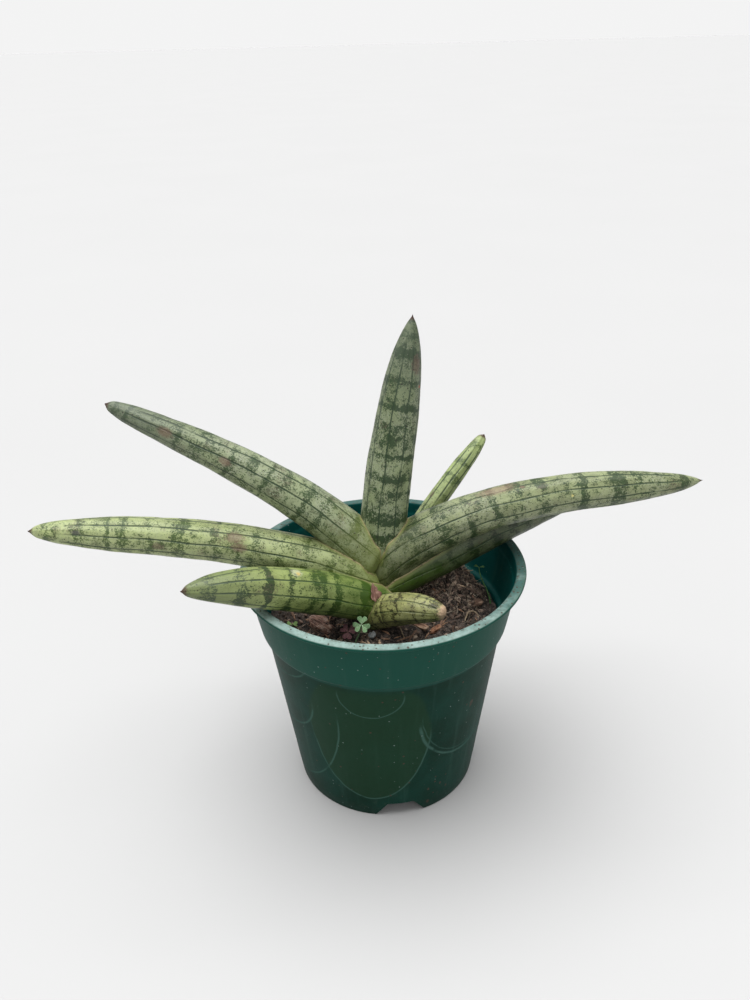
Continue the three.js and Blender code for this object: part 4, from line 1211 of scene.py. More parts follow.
def strip_mesh(name, seed, length, width, thick, bend, steps=7, sides=5, taper=0.7):
    """A splinter or a fibre lying along x: rings of a few points, bent and thinned to its ends."""
    rng = random.Random(seed)
    points, faces = [], []
    phase = rng.uniform(0, 6)
    for j in range(steps + 1):
        s = j / steps
        slim = (1 - abs(2 * s - 1) ** 2 * taper) * rng.uniform(0.85, 1.1)
        cx = (s - 0.5) * length
        cy = bend * math.sin(math.pi * s + phase) * 0.6 + rng.uniform(-0.04, 0.04) * width
        cz = bend * 0.5 * math.sin(1.4 * math.pi * s + 2 * phase)
        for k in range(sides):
            a = 2 * math.pi * k / sides + 0.5
            points.append(((cx + rng.uniform(-0.02, 0.02) * length) * MM,
                           (cy + slim * width / 2 * math.cos(a)) * MM,
                           (cz + slim * thick / 2 * math.sin(a)) * MM))
    for j in range(steps):
        for k in range(sides):
            a, b = j * sides + k, j * sides + (k + 1) % sides
            faces.append((a, b, b + sides, a + sides))
    faces.append(tuple(reversed(range(sides))))
    faces.append(tuple(range(steps * sides, (steps + 1) * sides)))
    mesh = mesh_from(name, points, faces, False)
    flip = bmesh.new()
    flip.from_mesh(mesh)
    bmesh.ops.recalc_face_normals(flip, faces=flip.faces)
    flip.to_mesh(mesh)
    flip.free()
    return mesh


def litter_paint(name, shades, grain=1.2, stretch=(1.0, 1.0, 1.0), rough=0.75, lift=0.35):
    """A shade per copy, picked from a list, with a darker and lighter grain inside each."""
    def build(w):
        spot = w.vector("MULTIPLY", w.place(), stretch)
        tint = w.add("ShaderNodeAttribute", attribute_name="tint", attribute_type="GEOMETRY").outputs["Fac"]
        ramp = w.add("ShaderNodeValToRGB", (tint,))
        stops = ramp.color_ramp.elements
        for k, shade in enumerate(shades):
            stop = stops[k] if k < 2 else stops.new(k / (len(shades) - 1))
            stop.position = k / (len(shades) - 1)
            stop.color = colour(*shade)
        fleck = w.noise(spot, grain, 4.0, 0.7)
        tone = w.blend(w.times(w.ease(fleck, 0.6, 0.35), 0.6), ramp.outputs[0], colour(0.012, 0.009, 0.007))
        tone = w.blend(w.times(w.ease(fleck, 0.58, 0.75), lift), tone, colour(0.26, 0.2, 0.14))
        return tone, w.plus(rough - 0.1, w.times(fleck, 0.2)), fleck, 0.0006
    return finish_material(name, build, shine=0.25)


def soil_patch(x, y, reach):
    """A copy of the soil's faces round a place given from the pot's axis, in millimetres."""
    bm = bmesh.new()
    bm.from_mesh(soil_look.data)
    middle = Vector((POT_X + x * MM, POT_Y + y * MM))
    far = [f for f in bm.faces if (f.calc_center_median().xy - middle).length > reach * MM]
    bmesh.ops.delete(bm, geom=far, context="FACES")
    mesh = bpy.data.meshes.new("patch")
    bm.to_mesh(mesh)
    bm.free()
    return mesh


def scattered(name, shapes, slot, paint, density, smallest, largest, tilt, lift, seed,
              reach=57.0, ground=None):
    holder = new_object(name + "_seed", ground or soil_look.data.copy())
    shapes = shape_set(name + "_shapes", shapes)
    piece = apply_nodes(holder, scatter, name, {
        "Shapes": shapes, "Per square metre": density, "Smallest": smallest, "Largest": largest,
        "Tilt": tilt, "Lift": lift, "Reach": reach * MM, "Seed": seed, "Paint": paint})
    hand_over(piece, slot)
    return piece


# %% Laying the litter
dark_bark = [(0.022, 0.017, 0.015), (0.11, 0.082, 0.068), (0.27, 0.18, 0.135), (0.04, 0.03, 0.025),
             (0.52, 0.39, 0.3)]
crumbs = [crumb_mesh(f"crumb_{k}", 40 + k, s) for k, s in enumerate(
    [(1.2, 0.9, 0.7), (1.5, 0.8, 0.55), (1.0, 1.0, 0.8), (1.9, 0.7, 0.5), (1.3, 1.1, 0.45), (0.9, 0.8, 0.9)])]
scattered("soil_crumbs", crumbs, "potting_mix", litter_paint("crumb_shades", dark_bark, lift=0.3),
          115000.0, 0.45, 1.7, 0.9, 0.0001, 3)
dust = [crumb_mesh(f"dust_{k}", 80 + k, s, 0 if k % 2 else 1) for k, s in enumerate(
    [(1.2, 0.8, 0.7), (1.5, 0.7, 0.6), (1.0, 1.0, 0.7)])]
grain_shades = [(0.02, 0.015, 0.013), (0.18, 0.125, 0.09), (0.028, 0.022, 0.018), (0.38, 0.29, 0.21),
                (0.032, 0.025, 0.02), (0.62, 0.53, 0.42)]
scattered("soil_grains", dust, "potting_mix", litter_paint("grain_shades", grain_shades, lift=0.4),
          190000.0, 0.18, 0.5, 1.0, 0.0001, 5)
splinters = [strip_mesh(f"splinter_{k}", 10 + k, 4.5 + 1.1 * k, 0.8 + 0.2 * (k % 4), 0.5, 0.35, 6, 5, 0.75)
             for k in range(7)]
splinter_shades = [(0.06, 0.036, 0.025), (0.26, 0.155, 0.105), (0.44, 0.25, 0.15), (0.13, 0.085, 0.062),
                   (0.58, 0.41, 0.27)]
splinter_paint = litter_paint("splinter_shades", splinter_shades, 1.8, (0.6, 0.6, 1.0))
scattered("wood_splinters", splinters, "bark", splinter_paint, 26000.0, 0.5, 1.3, 0.35, 0.0005, 8, 52.0)
fibres = [strip_mesh(f"fibre_{k}", 20 + k, 8 + 2.2 * k, 0.2, 0.2, 1.8 + 0.8 * (k % 3), 12, 4, 0.6)
          for k in range(6)]
fibre_shades = [(0.18, 0.135, 0.095), (0.42, 0.33, 0.24), (0.68, 0.58, 0.45)]
fibre_paint = litter_paint("fibre_shades", fibre_shades, 1.5)
scattered("root_fibres", fibres, "root_fibre", fibre_paint, 20000.0, 0.4, 1.2, 0.35, 0.0008, 21, 49.0)

# the root ball on the right is a tangle of its own
short_fibres = [strip_mesh(f"curl_{k}", 60 + k, 4 + 1.1 * k, 0.17, 0.17, 1.5 + 0.6 * (k % 3), 10, 4, 0.6)
                for k in range(6)]
scattered("root_ball_fibres", short_fibres, "root_fibre", fibre_paint,
          330000.0, 0.5, 1.3, 0.9, 0.0004, 31, 55.0, soil_patch(37, 6, 17))
scattered("root_ball_crumbs", crumbs, "potting_mix", litter_paint("ball_shades", dark_bark, lift=0.35),
          260000.0, 0.5, 1.6, 1.2, 0.0004, 33, 56.0, soil_patch(37, 6, 17))

# %% [markdown]
# ## Bark chips
# A chip of composted bark is a torn slab: longer than wide, thinner at the ends, with fibres
# that run along it and split into steps. Each chip here starts as a fine grid wrapped into a
# slab, pushed by noise that is stretched along the fibres.

# %% Bark chips
CHIPS = [  # node, place from the pot's axis, length, width, thickness, heading, tilt
    ("bark_chip_left", -33, -13, 15, 9, 3.4, -42, 8), ("bark_chip_front", 27.5, -19, 12, 3.2, 2.2, 57, 10),
    ("bark_chip_middle", 19, -21.5, 10, 3.6, 2, -38, -6), ("bark_chip_right", 50, -1, 7.5, 5, 2.6, 20, 12),
    ("bark_chip_back", -22, 34, 14, 7, 3.2, 70, -5),
]
BARK_SHADES = {
    "bark_chip_left": ((0.08, 0.04, 0.03), (0.46, 0.27, 0.2), (0.68, 0.53, 0.43)),
    "bark_chip_front": ((0.09, 0.035, 0.018), (0.38, 0.19, 0.11), (0.58, 0.38, 0.24)),
    "bark_chip_middle": ((0.06, 0.03, 0.02), (0.33, 0.19, 0.12), (0.52, 0.38, 0.27)),
    "bark_chip_right": ((0.05, 0.028, 0.02), (0.24, 0.145, 0.1), (0.42, 0.3, 0.22)),
    "bark_chip_back": ((0.03, 0.016, 0.01), (0.12, 0.06, 0.035), (0.22, 0.14, 0.09)),
}


def chip_mesh(name, length, width, thick, seed):
    """A torn slab round the origin, in millimetres, its fibres along x."""
    bm = bmesh.new()
    bmesh.ops.create_cube(bm, size=1.0)
    bmesh.ops.subdivide_edges(bm, edges=bm.edges, cuts=13, use_grid_fill=True)
    shift = Vector((seed * 3.7, seed * 1.9, seed * 5.3))
    for vertex in bm.verts:
        u, v, t = vertex.co * 2.0
        end = 0.16 * noise.noise(Vector((v * 2.2, seed, t)) + shift)
        end += 0.10 * noise.noise(Vector((v * 7, 0, seed)))
        side = 0.22 * noise.noise(Vector((u * 1.8, seed * 2.0, 0)) + shift)
        side += 0.08 * noise.noise(Vector((u * 6, seed, t)))
        slim = (1 - 0.35 * abs(u) ** 3) * (1 + side)
        x = u * (1 + end - 0.13 * abs(v) ** 2)
        y = v * slim
        ridge = noise.noise(Vector((u * 0.9, v * 5.5, seed)) + shift) * 0.5
        ridge += noise.noise(Vector((u * 2.0, v * 12, 3)) + shift) * 0.22
        arch = 0.25 * (1 - v * v) + 0.2 * noise.noise(Vector((u * 1.3, 0, seed)))
        z = t * (1 - 0.35 * max(abs(u), abs(v)) ** 4) + (arch + ridge) * (0.9 if t > 0 else 0.5)
        vertex.co = Vector((x * length / 2, y * width / 2, z * thick / 2.4))
    mesh = bpy.data.meshes.new(name)
    bm.to_mesh(mesh)
    bm.free()
    mesh.polygons.foreach_set("use_smooth", [True] * len(mesh.polygons))
    return mesh


def keep_own_place(mesh, name="own"):
    """Stores where each point lies before the piece is put in place, in millimetres."""
    kept = mesh.attributes.new(name, "FLOAT_VECTOR", "POINT")
    for i, vertex in enumerate(mesh.vertices):
        kept.data[i].vector = vertex.co


def bark_paint(name, dark, mid, light):
    def build(w):
        own = w.attribute("own")
        fibres = w.noise(w.vector("MULTIPLY", own, (0.16, 1.5, 1.5)), 1.0, 4.0, 0.65, 0.3)
        patch = w.noise(own, 0.35, 3.0, 0.6)
        tone = w.blend(w.ease(fibres, 0.36, 0.62), colour(*dark), colour(*mid))
        tone = w.blend(w.times(w.ease(patch, 0.52, 0.7), 0.6), tone, colour(*light))
        tone = w.blend(w.times(w.ease(patch, 0.44, 0.3), 0.6), tone, colour(*[0.5 * c for c in dark]))
        return tone, w.plus(0.6, w.times(fibres, 0.3)), fibres, 0.0012
    return finish_material(name, build)


def in_place(mesh, x, y, z, heading=0.0, tilt=0.0, roll=0.0):
    """Moves a mesh made in millimetres round the origin to its place from the pot's axis."""
    turn = Matrix.Rotation(math.radians(heading), 4, "Z") @ Matrix.Rotation(math.radians(tilt), 4, "Y")
    turn = turn @ Matrix.Rotation(math.radians(roll), 4, "X")
    mesh.transform(Matrix.Translation((POT_X + x * MM, POT_Y + y * MM, z * MM)) @ turn @ Matrix.Scale(MM, 4))


for k, (node, x, y, length, width, thick, heading, tilt) in enumerate(CHIPS):
    mesh = chip_mesh(node + "_look", length, width, thick, k + 1)
    keep_own_place(mesh)
    low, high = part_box(node)
    in_place(mesh, x, y, (low[2] + high[2]) / 2 / MM + 0.1, heading, tilt)
    chip = new_object(node + "_look", mesh)
    hand_over(chip, "bark", node, material=bark_paint(node + "_paint", *BARK_SHADES[node]))

# %% [markdown]
# ## Rootlets and stalks
# Loose rootlets arch out of the mix, and the weeds stand on thin stalks. Both are a line swept by
# a small round section, so one Geometry Nodes tree serves them all: it smooths a rough line,
# bends it a little by noise, and changes its thickness evenly from its foot to its tip.


# %% The tendril tree
def tendril_tree():
    tree = bpy.data.node_groups.new("tendril", "GeometryNodeTree")
    face = tree.interface
    face.new_socket("Geometry", in_out="INPUT", socket_type="NodeSocketGeometry")
    for name in ("Radius", "Wander", "Foot", "Tip"):
        face.new_socket(name, in_out="INPUT", socket_type="NodeSocketFloat")
    for name in ("Points", "Sides"):
        face.new_socket(name, in_out="INPUT", socket_type="NodeSocketInt")
    face.new_socket("Paint", in_out="INPUT", socket_type="NodeSocketMaterial")
    face.new_socket("Geometry", in_out="OUTPUT", socket_type="NodeSocketGeometry")
    w = Wiring(tree)
    ask = w.add("NodeGroupInput").outputs
    line = w.add("GeometryNodeMeshToCurve", {"Mesh": ask["Geometry"]}).outputs[0]
    line = w.add("GeometryNodeCurveSplineType", {"Curve": line}, spline_type="CATMULL_ROM").outputs[0]
    line = w.add("GeometryNodeResampleCurve", {"Curve": line, "Count": ask["Points"]}).outputs[0]
    place = w.add("GeometryNodeInputPosition").outputs[0]
    jitter = w.add("ShaderNodeTexNoise", {"Vector": place, "Scale": 260.0, "Detail": 2.0}).outputs["Color"]
    push = w.scaled(w.vector("SUBTRACT", jitter, (0.5, 0.5, 0.5)), ask["Wander"])
    line = w.add("GeometryNodeSetPosition", {"Geometry": line, "Offset": push}).outputs[0]
    along = w.add("GeometryNodeSplineParameter").outputs["Factor"]
    thin = w.plus(w.times(ask["Foot"], w.less(1.0, along)), w.times(ask["Tip"], along))
    section = w.add("GeometryNodeCurvePrimitiveCircle", {"Resolution": ask["Sides"],
                                                         "Radius": ask["Radius"]}).outputs[0]
    line = w.add("GeometryNodeStoreNamedAttribute", {"Geometry": line, "Name": "along", "Value": along},
                 data_type="FLOAT", domain="POINT").outputs[0]
    tube = w.add("GeometryNodeCurveToMesh", {"Curve": line, "Profile Curve": section, "Scale": thin,
                                             "Fill Caps": True}).outputs[0]
    tube = w.add("GeometryNodeSetShadeSmooth", {"Geometry": tube}).outputs[0]
    tube = w.add("GeometryNodeRealizeInstances", {"Geometry": tube}).outputs[0]
    tube = w.add("GeometryNodeSetMaterial", {"Geometry": tube, "Material": ask["Paint"]}).outputs[0]
    w.add("NodeGroupOutput", (tube,))
    return tree


tendril = tendril_tree()


def grow_tendril(name, line, radius, paint, wander=0.0, foot=1.0, tip=1.0, points=40, sides=10):
    """line: points in millimetres from the pot's axis, z above the ground."""
    mesh = bpy.data.meshes.new(name)
    mesh.from_pydata([(POT_X + x * MM, POT_Y + y * MM, z * MM) for x, y, z in line],
                     [(k, k + 1) for k in range(len(line) - 1)], [])
    return apply_nodes(new_object(name + "_seed", mesh), tendril, name, {
        "Radius": radius * MM, "Wander": wander * MM, "Foot": foot, "Tip": tip,
        "Points": points, "Sides": sides, "Paint": paint})


def stringy(name, dark, light):
    def build(w):
        spot = w.place()
        grain = w.noise(spot, 1.8, 4.0, 0.65)
        tone = w.blend(w.ease(grain, 0.35, 0.65), colour(*dark), colour(*light))
        return tone, w.plus(0.5, w.times(grain, 0.2)), grain, 0.0004
    return finish_material(name, build)


ROOTS = {  # places from the pot's axis, rise of the arch, radius
    "root_left": (((-50, -6), (-48, -11), (-45, -15), (-42.5, -21)), 1.2, 0.45),
    "root_middle": (((-21, -11), (-22, -16), (-22.5, -20), (-21.5, -23.5)), 1.4, 0.45),
    "root_front": (((5.5, -19), (7, -22.5), (9, -25), (10.5, -30)), 1.2, 0.5),
    "root_right": (((42, -13.5), (45, -8.5), (49, -8), (52, -13)), 2.2, 0.55),
}
root_paint = stringy("root_paint", (0.16, 0.11, 0.07), (0.42, 0.33, 0.22))
for node, (places, arch, radius) in ROOTS.items():
    line = []
    for k, (x, y) in enumerate(places):
        lift = 0.4 + 0.55 * arch if k in (1, 2) else -0.6
        line.append((x, y, soil_height(x, y) + lift))
    root = grow_tendril(node + "_look", line, radius * 0.8, root_paint, 1.1, 1.15, 0.7)
    hand_over(root, "root_fibre", node)

# %% [markdown]
# ## Weeds
# Two tiny clovers, one green and one purple, and two seedlings live in the pot. A clover head is
# three heart-shaped leaflets that meet at the stalk, each folded a little along its middle vein.


# %% Weeds
def leaflet(length, fold, droop, turn):
    """A heart-shaped leaflet, its point at the origin, as points and faces in millimetres."""
    rows, columns = 12, 12
    points, faces = [], []
    for side in (1, -1):
        for i in range(rows + 1):
            s = i / rows
            for j in range(columns + 1):
                t = 2 * j / columns - 1
                half = 0.55 * length * math.sin(math.pi * min(1.0, s * 0.9 + 0.01) ** 1.6) ** 0.85
                notch = 0.3 * length * s ** 3 * (1 - abs(t)) ** 1.2
                x = s * length - notch - 0.1 * length * s * t * t
                y = t * half
                z = fold * abs(y) - droop * (x / length) ** 2 * length + side * 0.07
                points.append((x * math.cos(turn) - y * math.sin(turn),
                               x * math.sin(turn) + y * math.cos(turn), z))
    per = (rows + 1) * (columns + 1)
    for side in range(2):
        for i in range(rows):
            for j in range(columns):
                a = side * per + i * (columns + 1) + j
                quad = (a, a + columns + 1, a + columns + 2, a + 1)
                faces.append(quad if side == 0 else tuple(reversed(quad)))
    edge = [j for j in range(columns + 1)] + [(i + 1) * (columns + 1) + columns for i in range(rows)]
    edge += [rows * (columns + 1) + columns - 1 - j for j in range(columns)]
    edge += [(rows - 1 - i) * (columns + 1) for i in range(rows - 1)]
    for k, a in enumerate(edge):
        b = edge[(k + 1) % len(edge)]
        faces.append((a, b, b + per, a + per))
    return points, faces


def weed_head(name, count, length, turn, fold, droop, tilt):
    """Leaflets round the origin, tilted towards the light, with their own places kept."""
    points, faces, own = [], [], []
    for k in range(count):
        spread = 2 * math.pi / max(3, count) if count > 2 else math.pi
        p, f = leaflet(length, fold, droop, math.radians(turn) + spread * k)
        flat, _ = leaflet(length, 0, 0, 0)
        faces += [tuple(i + len(points) for i in face) for face in f]
        points += [Matrix.Rotation(math.radians(tilt), 3, "X") @ Vector(q) for q in p]
        own += flat
    mesh = mesh_from(name, points, faces)
    kept = mesh.attributes.new("own", "FLOAT_VECTOR", "POINT")
    for i, place in enumerate(own):
        kept.data[i].vector = place
    return faced_out(mesh)


def leaflet_paint(name, deep, pale, vein, length):
    def build(w):
        own = w.attribute("own")
        x, y, _ = w.parts(own)
        side = w.sum("ABSOLUTE", y)
        middle = w.ease(side, 0.22, 0.04)
        ribs = w.sum("SINE", w.times(w.less(x, w.times(side, 0.8)), 9.0))
        grain = w.noise(own, 1.4, 3.0, 0.6)
        tone = w.blend(w.ease(grain, 0.35, 0.65), colour(*deep), colour(*pale))
        tone = w.blend(w.times(w.ease(ribs, 0.55, 0.95), 0.25), tone, colour(*vein))
        tone = w.blend(w.times(middle, 0.7), tone, colour(*vein))
        tone = w.blend(w.times(w.ease(x, length * 0.3, 0.0), 0.6), tone, colour(*vein))
        height = w.plus(w.times(w.ease(ribs, 0.2, 0.95), -0.3), w.times(middle, -0.6))
        return tone, w.plus(0.5, w.times(grain, 0.15)), height, 0.0004
    return finish_material(name, build)


def joined(name, parts):
    """One object from several meshes that already lie in place, keeping their materials."""
    for other in bpy.context.view_layer.objects:
        other.select_set(other in parts)
    bpy.context.view_layer.objects.active = parts[0]
    bpy.ops.object.join()
    made = bpy.context.view_layer.objects.active
    made.name = name
    made.data.name = name
    made.select_set(False)
    return made


CLOVERS = {  # foot, head, rise above the soil, leaflets, leaflet length, turn, tilt, shades, slot
    "clover_green": ((-15, -30.5), (-11.2, -31.5), 10.5, 3, 4.8, 83, 50,
                     ((0.12, 0.24, 0.10), (0.23, 0.37, 0.19), (0.4, 0.52, 0.34)), "weed_green"),
    "clover_purple": ((-20.5, -27.5), (-18.2, -29.5), 7, 3, 4.5, 20, 40,
                      ((0.08, 0.03, 0.036), (0.16, 0.07, 0.075), (0.25, 0.14, 0.13)), "weed_purple"),
    "seedling_left": ((-48.6, -12), (-48.4, -13.4), 3.6, 2, 3.2, 0, 10,
                      ((0.12, 0.24, 0.06), (0.24, 0.38, 0.12), (0.36, 0.48, 0.2)), "weed_green"),
}
for node, (foot, head, rise, count, length, turn, tilt, shades, slot) in CLOVERS.items():
    ground = soil_height(*foot)
    top = soil_height(*head) + rise
    bend = ((foot[0] + head[0]) / 2 + 0.6, (foot[1] + head[1]) / 2, ground + (top - ground) * 0.55)
    paint = stringy(node + "_stalk", shades[0], shades[1])
    line = [(foot[0], foot[1], ground - 1.5), (foot[0] + 0.2, foot[1], ground + 0.8), bend,
            (head[0], head[1], top)]
    stalk = grow_tendril(node + "_stalk", line, 0.3, paint, 0.3, 1.25, 0.8, 24, 8)
    mesh = weed_head(node + "_head", count, length, turn, 0.32, 0.12, tilt)
    in_place(mesh, head[0], head[1], top)
    crown = new_object(node + "_head", mesh)
    crown.data.materials.append(leaflet_paint(node + "_paint", *shades, length))
    weed = joined(node + "_look", [stalk, crown])
    hand_over(weed, slot, node)

# %% [markdown]
# ## The seedling by the wall
# One thin seedling leans along the inside of the pot, on a stem a fifth of the pot's height, with
# two narrow leaves at the top.

# %% Wall seedling
SEEDLING = dict(degrees=95, radius=58.85, rise=21.5, lean=6.0, turn=5.0)


def by_angle(radius, degrees):
    return radius * math.sin(math.radians(degrees)), -radius * math.cos(math.radians(degrees))


def wall_seedling():
    foot_x, foot_y = by_angle(SEEDLING["radius"], SEEDLING["degrees"])
    ground = soil_height(foot_x, foot_y) - 1.0
    line = []
    for k in range(6):
        s = k / 5
        inwards = SEEDLING["lean"] * (3 * s * s - 2 * s ** 3)
        x, y = by_angle(SEEDLING["radius"] - inwards, SEEDLING["degrees"] + SEEDLING["turn"] * s)
        line.append((x, y, ground + SEEDLING["rise"] * s))
    shades = ((0.05, 0.13, 0.04), (0.12, 0.24, 0.08), (0.2, 0.33, 0.14))
    parts = [grow_tendril("seedling_stem", line, 0.36, stringy("seedling_stem_paint", shades[0], shades[1]),
                          0.5, 1.2, 0.7, 40, 8)]
    paint = leaflet_paint("seedling_paint", *shades, 3.4)
    for k, (turn, tilt) in enumerate(((150, -8), (-25, -20))):
        mesh = weed_head(f"seedling_leaf_{k}", 1, 3.4, 0, 0.25, 0.2, 0)
        for vertex in mesh.vertices:
            vertex.co.y *= 0.5
        in_place(mesh, line[-1][0], line[-1][1], line[-1][2], turn, tilt)
        leaf = new_object(f"seedling_leaf_{k}", mesh)
        leaf.data.materials.append(paint)
        parts.append(leaf)
    made = joined("seedling_wall_look", parts)
    hand_over(made, "weed_green", "seedling_wall")


wall_seedling()

# %% [markdown]
# ## Snail shell, pebble and the scrap of dry leaf
# The shell is a tube that winds outwards and gets wider as it goes, which gives the round dome
# with its spiral groove. The pebble is a lumpy ball. The scrap is a thin flake with a torn edge,
# curled, and laid on the skin of the front left leaf.


# %% Shell, pebble and scrap
def shell_mesh(name, radius):
    """A flat snail shell round the origin: a tube wound along a growing spiral, in millimetres."""
    turns, steps, sides = 3.3, 150, 18
    growth = math.log(7.5) / (2 * math.pi * turns)
    end = 2 * math.pi * turns
    points, faces, own = [], [], []
    for i in range(steps + 1):
        a = end * i / steps
        reach = math.exp(growth * (a - end))
        centre = Vector((math.cos(a), math.sin(a), 0)) * reach * 0.58 * radius
        centre.z = -0.42 * radius * reach + 0.22 * radius
        size = 0.43 * radius * reach
        outward = Vector((math.cos(a), math.sin(a), 0))
        for k in range(sides):
            b = 2 * math.pi * k / sides
            points.append(centre + outward * size * math.cos(b) + Vector((0, 0, size * 1.05 * math.sin(b))))
            own.append((a, math.cos(b), reach))
    for i in range(steps):
        for k in range(sides):
            a, b = i * sides + k, i * sides + (k + 1) % sides
            faces.append((a, b, b + sides, a + sides))
    faces.append(tuple(reversed(range(sides))))
    faces.append(tuple(range(steps * sides, (steps + 1) * sides)))
    mesh = mesh_from(name, points, faces)
    kept = mesh.attributes.new("own", "FLOAT_VECTOR", "POINT")
    for i, place in enumerate(own):
        kept.data[i].vector = place
    return faced_out(mesh)


def shell_paint():
    def build(w):
        a, _, reach = w.parts(w.attribute("own"))
        ribs = w.sum("SINE", w.times(a, 26.0))
        grain = w.noise(w.place(), 1.6, 3.0)
        tone = w.blend(w.ease(grain, 0.35, 0.65), colour(0.2, 0.205, 0.21), colour(0.36, 0.37, 0.37))
        tone = w.blend(w.times(w.ease(ribs, 0.3, 1.0), 0.3), tone, colour(0.14, 0.13, 0.125))
        tone = w.blend(w.times(w.ease(reach, 0.35, 0.12), 0.7), tone, colour(0.5, 0.48, 0.44))
        return tone, w.plus(0.35, w.times(grain, 0.2)), ribs, 0.0001
    return finish_material("shell_paint", build)


low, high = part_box("snail_shell")
shell = shell_mesh("snail_shell_look", 2.55)
in_place(shell, -6.4, -28.8, (low[2] + high[2]) / 2 / MM, -40, 12, 18)
shell = new_object("snail_shell_look", shell)
hand_over(shell, "shell", "snail_shell", material=shell_paint())

low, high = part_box("pebble")
stone = crumb_mesh("pebble_look", 7, (1.45, 1.3, 1.0), 4)
for vertex in stone.vertices:
    vertex.co *= MM_PER_METRE
keep_own_place(stone)
in_place(stone, -22.6, -26.5, (low[2] + high[2]) / 2 / MM, 20)
stone.polygons.foreach_set("use_smooth", [True] * len(stone.polygons))
stone = new_object("pebble_look", stone)
hand_over(stone, "pebble", "pebble",
          material=bark_paint("pebble_paint", (0.14, 0.09, 0.06), (0.33, 0.24, 0.17), (0.5, 0.42, 0.33)))


def flake_mesh(name, length, width, thick):
    """A torn, curled flake round the origin, in millimetres."""
    rings, turns = 14, 56
    points, faces = [], []
    for side in (1, -1):
        for j in range(rings + 1):
            s = j / rings
            for k in range(turns):
                a = 2 * math.pi * k / turns
                torn = 1 + 0.2 * math.sin(3 * a + 1.0) + 0.1 * math.sin(7 * a)
                torn += 0.09 * noise.noise(Vector((math.cos(a) * 5, math.sin(a) * 5, 2)))
                x, y = math.cos(a) * s * torn * length / 2, math.sin(a) * s * torn * width / 2
                curl = 0.045 * y * y + 0.018 * x * x + 0.22 * noise.noise(Vector((x * 0.5, y * 0.5, 4)))
                points.append((x, y, curl + side * thick / 2 * (1 - 0.6 * s)))
    per = (rings + 1) * turns
    for side in range(2):
        for j in range(rings):
            for k in range(turns):
                a, b = side * per + j * turns + k, side * per + j * turns + (k + 1) % turns
                quad = (a, a + turns, b + turns, b)
                faces.append(quad if side == 0 else tuple(reversed(quad)))
    for k in range(turns):
        a, b = rings * turns + k, rings * turns + (k + 1) % turns
        faces.append((a, a + per, b + per, b))
    bm = bmesh.new()
    mesh = mesh_from(name, points, faces)
    bm.from_mesh(mesh)
    bmesh.ops.remove_doubles(bm, verts=bm.verts, dist=0.0005)
    bmesh.ops.recalc_face_normals(bm, faces=bm.faces)
    bm.to_mesh(mesh)
    bm.free()
    mesh.polygons.foreach_set("use_smooth", [True] * len(mesh.polygons))
    return mesh


low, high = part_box("dry_leaf_scrap")
near = next(o for o in inner if o.name.startswith("leaf_front_left"))
skin_tree = BVHTree.FromPolygons([v.co for v in near.data.vertices], [p.vertices for p in near.data.polygons])
target = (low + high) / 2 + Vector((-1.6, -1.0, -1.8)) * MM
spot, normal, _, _ = skin_tree.find_nearest(target)
if normal.dot(FRONT_AND_UP) < 0:
    normal = -normal
flake = flake_mesh("dry_leaf_scrap_look", 8.2, 6.3, 0.45)
keep_own_place(flake)
lie = normal.to_track_quat("Z", "Y").to_matrix().to_4x4() @ Matrix.Rotation(math.radians(70), 4, "Z")
flake.transform(Matrix.Translation(spot + normal * 0.75 * MM) @ lie @ Matrix.Scale(MM, 4))
flake = new_object("dry_leaf_scrap_look", flake)
hand_over(flake, "dry_leaf", "dry_leaf_scrap",
          material=bark_paint("scrap_paint", (0.11, 0.05, 0.035), (0.25, 0.13, 0.1), (0.4, 0.27, 0.2)))

# %% [markdown]
# ## Camera, floor and light
# A plain pale floor and a wide soft light from above, with a weak fill, show the plant as on a
# bright overcast day.

# %% Camera, floor and light
scene = bpy.context.scene
FOCAL = 32.4
CAMERA_BACK, CAMERA_UP = 0.4045, 0.2485
PITCH, ROLL, YAW = math.radians(27.55), math.radians(-1.48), math.radians(-0.43)


def set_camera():
    forward = Vector((math.sin(YAW) * math.cos(PITCH), math.cos(YAW) * math.cos(PITCH), -math.sin(PITCH)))
    right = forward.cross(Vector((0, 0, 1))).normalized()
    up = right.cross(forward)
    c, s = math.cos(ROLL), math.sin(ROLL)
    rolled_right = c * right + s * up
    rolled_up = -s * right + c * up
    data = bpy.data.cameras.new("camera")
    data.lens = FOCAL
    data.sensor_width = 36.0
    data.clip_start = 0.01
    camera = bpy.data.objects.new("camera", data)
    scene.collection.objects.link(camera)
    turn = Matrix((rolled_right, rolled_up, -forward)).transposed().to_4x4()
    place = Matrix.Translation((POT_X, POT_Y - CAMERA_BACK, RIM_Z + CAMERA_UP))
    camera.matrix_world = place @ turn
    scene.camera = camera


set_camera()


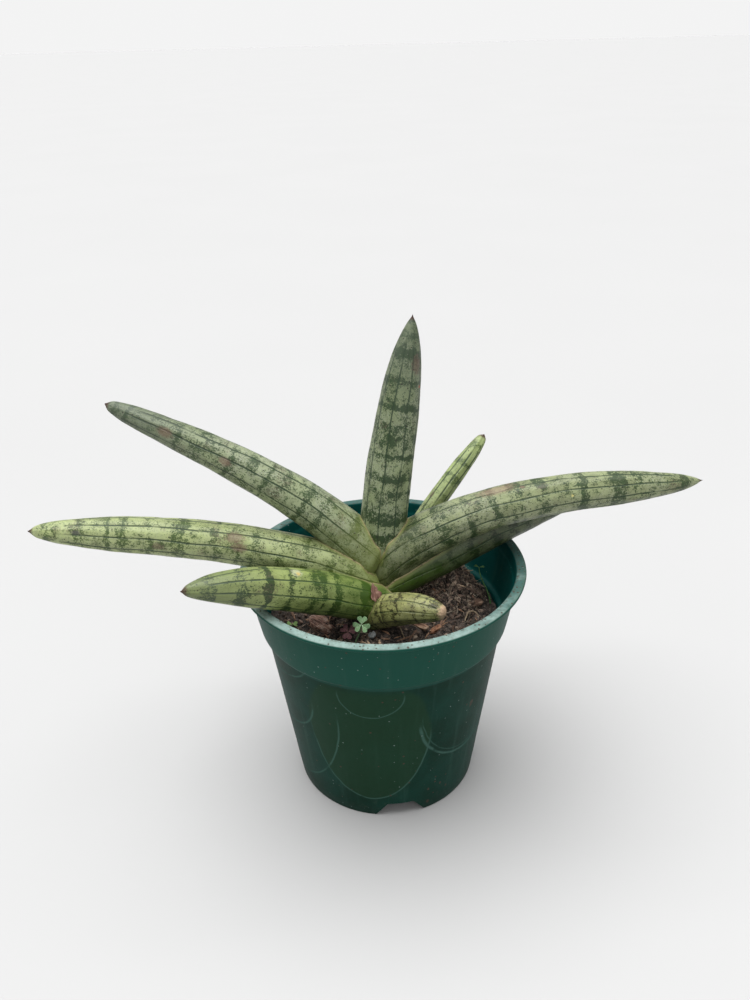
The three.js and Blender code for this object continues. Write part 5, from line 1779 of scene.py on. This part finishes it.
def soft_light(name, place, aim, size, power):
    data = bpy.data.lights.new(name, "AREA")
    data.shape = "DISK"
    data.size = size
    data.energy = power
    lamp = bpy.data.objects.new(name, data)
    scene.collection.objects.link(lamp)
    lamp.location = place
    lamp.rotation_euler = (Vector(aim) - Vector(place)).to_track_quat("-Z", "Y").to_euler()


soft_light("front_fill", (0.5, -1.3, 0.75), (0, 0, 0.1), 1.2, 3.0)
overcast = bpy.data.lights.new("overcast", "SUN")
overcast.energy = 4.3
overcast.angle = math.radians(65)
overcast_lamp = bpy.data.objects.new("overcast", overcast)
scene.collection.objects.link(overcast_lamp)
overcast_lamp.rotation_euler = Vector((0.14, -0.1, -1.0)).to_track_quat("-Z", "Y").to_euler()

world = bpy.data.worlds.new("studio")
world.use_nodes = True
sky = Wiring(world.node_tree)
rise = sky.parts(sky.add("ShaderNodeTexCoord").outputs["Generated"])[2]
background = world.node_tree.nodes["Background"]
background.inputs["Color"].default_value = (1.0, 1.0, 1.0, 1.0)
seen = sky.add("ShaderNodeLightPath").outputs["Is Camera Ray"]
lit = sky.ease(rise, 0.03, 0.5, 0.45, 0.68)
sky.feed(background.inputs["Strength"], sky.plus(sky.times(lit, sky.less(1.0, seen)), sky.times(seen, 0.9)))
scene.world = world
scene.view_settings.view_transform = "Standard"

FLOOR_REACH = 30.0
corners = [(x * FLOOR_REACH, y * FLOOR_REACH, 0) for x, y in ((-1, -1), (1, -1), (1, 1), (-1, 1))]
floor = new_object("floor", mesh_from("floor", corners, [(0, 1, 2, 3)], False))
floor_paint = bpy.data.materials.new("pale_floor")
floor_paint.use_nodes = True
paint = Wiring(floor_paint.node_tree)
shade = paint.noise(paint.add("ShaderNodeTexCoord").outputs["Object"], 3.0)
principled = floor_paint.node_tree.nodes["Principled BSDF"]
paint.feed(principled.inputs["Base Color"],
           paint.blend(shade, colour(0.415, 0.415, 0.415), colour(0.43, 0.43, 0.43)))
principled.inputs["Roughness"].default_value = 0.8
floor.data.materials.append(floor_paint)

bpy.context.view_layer.update()
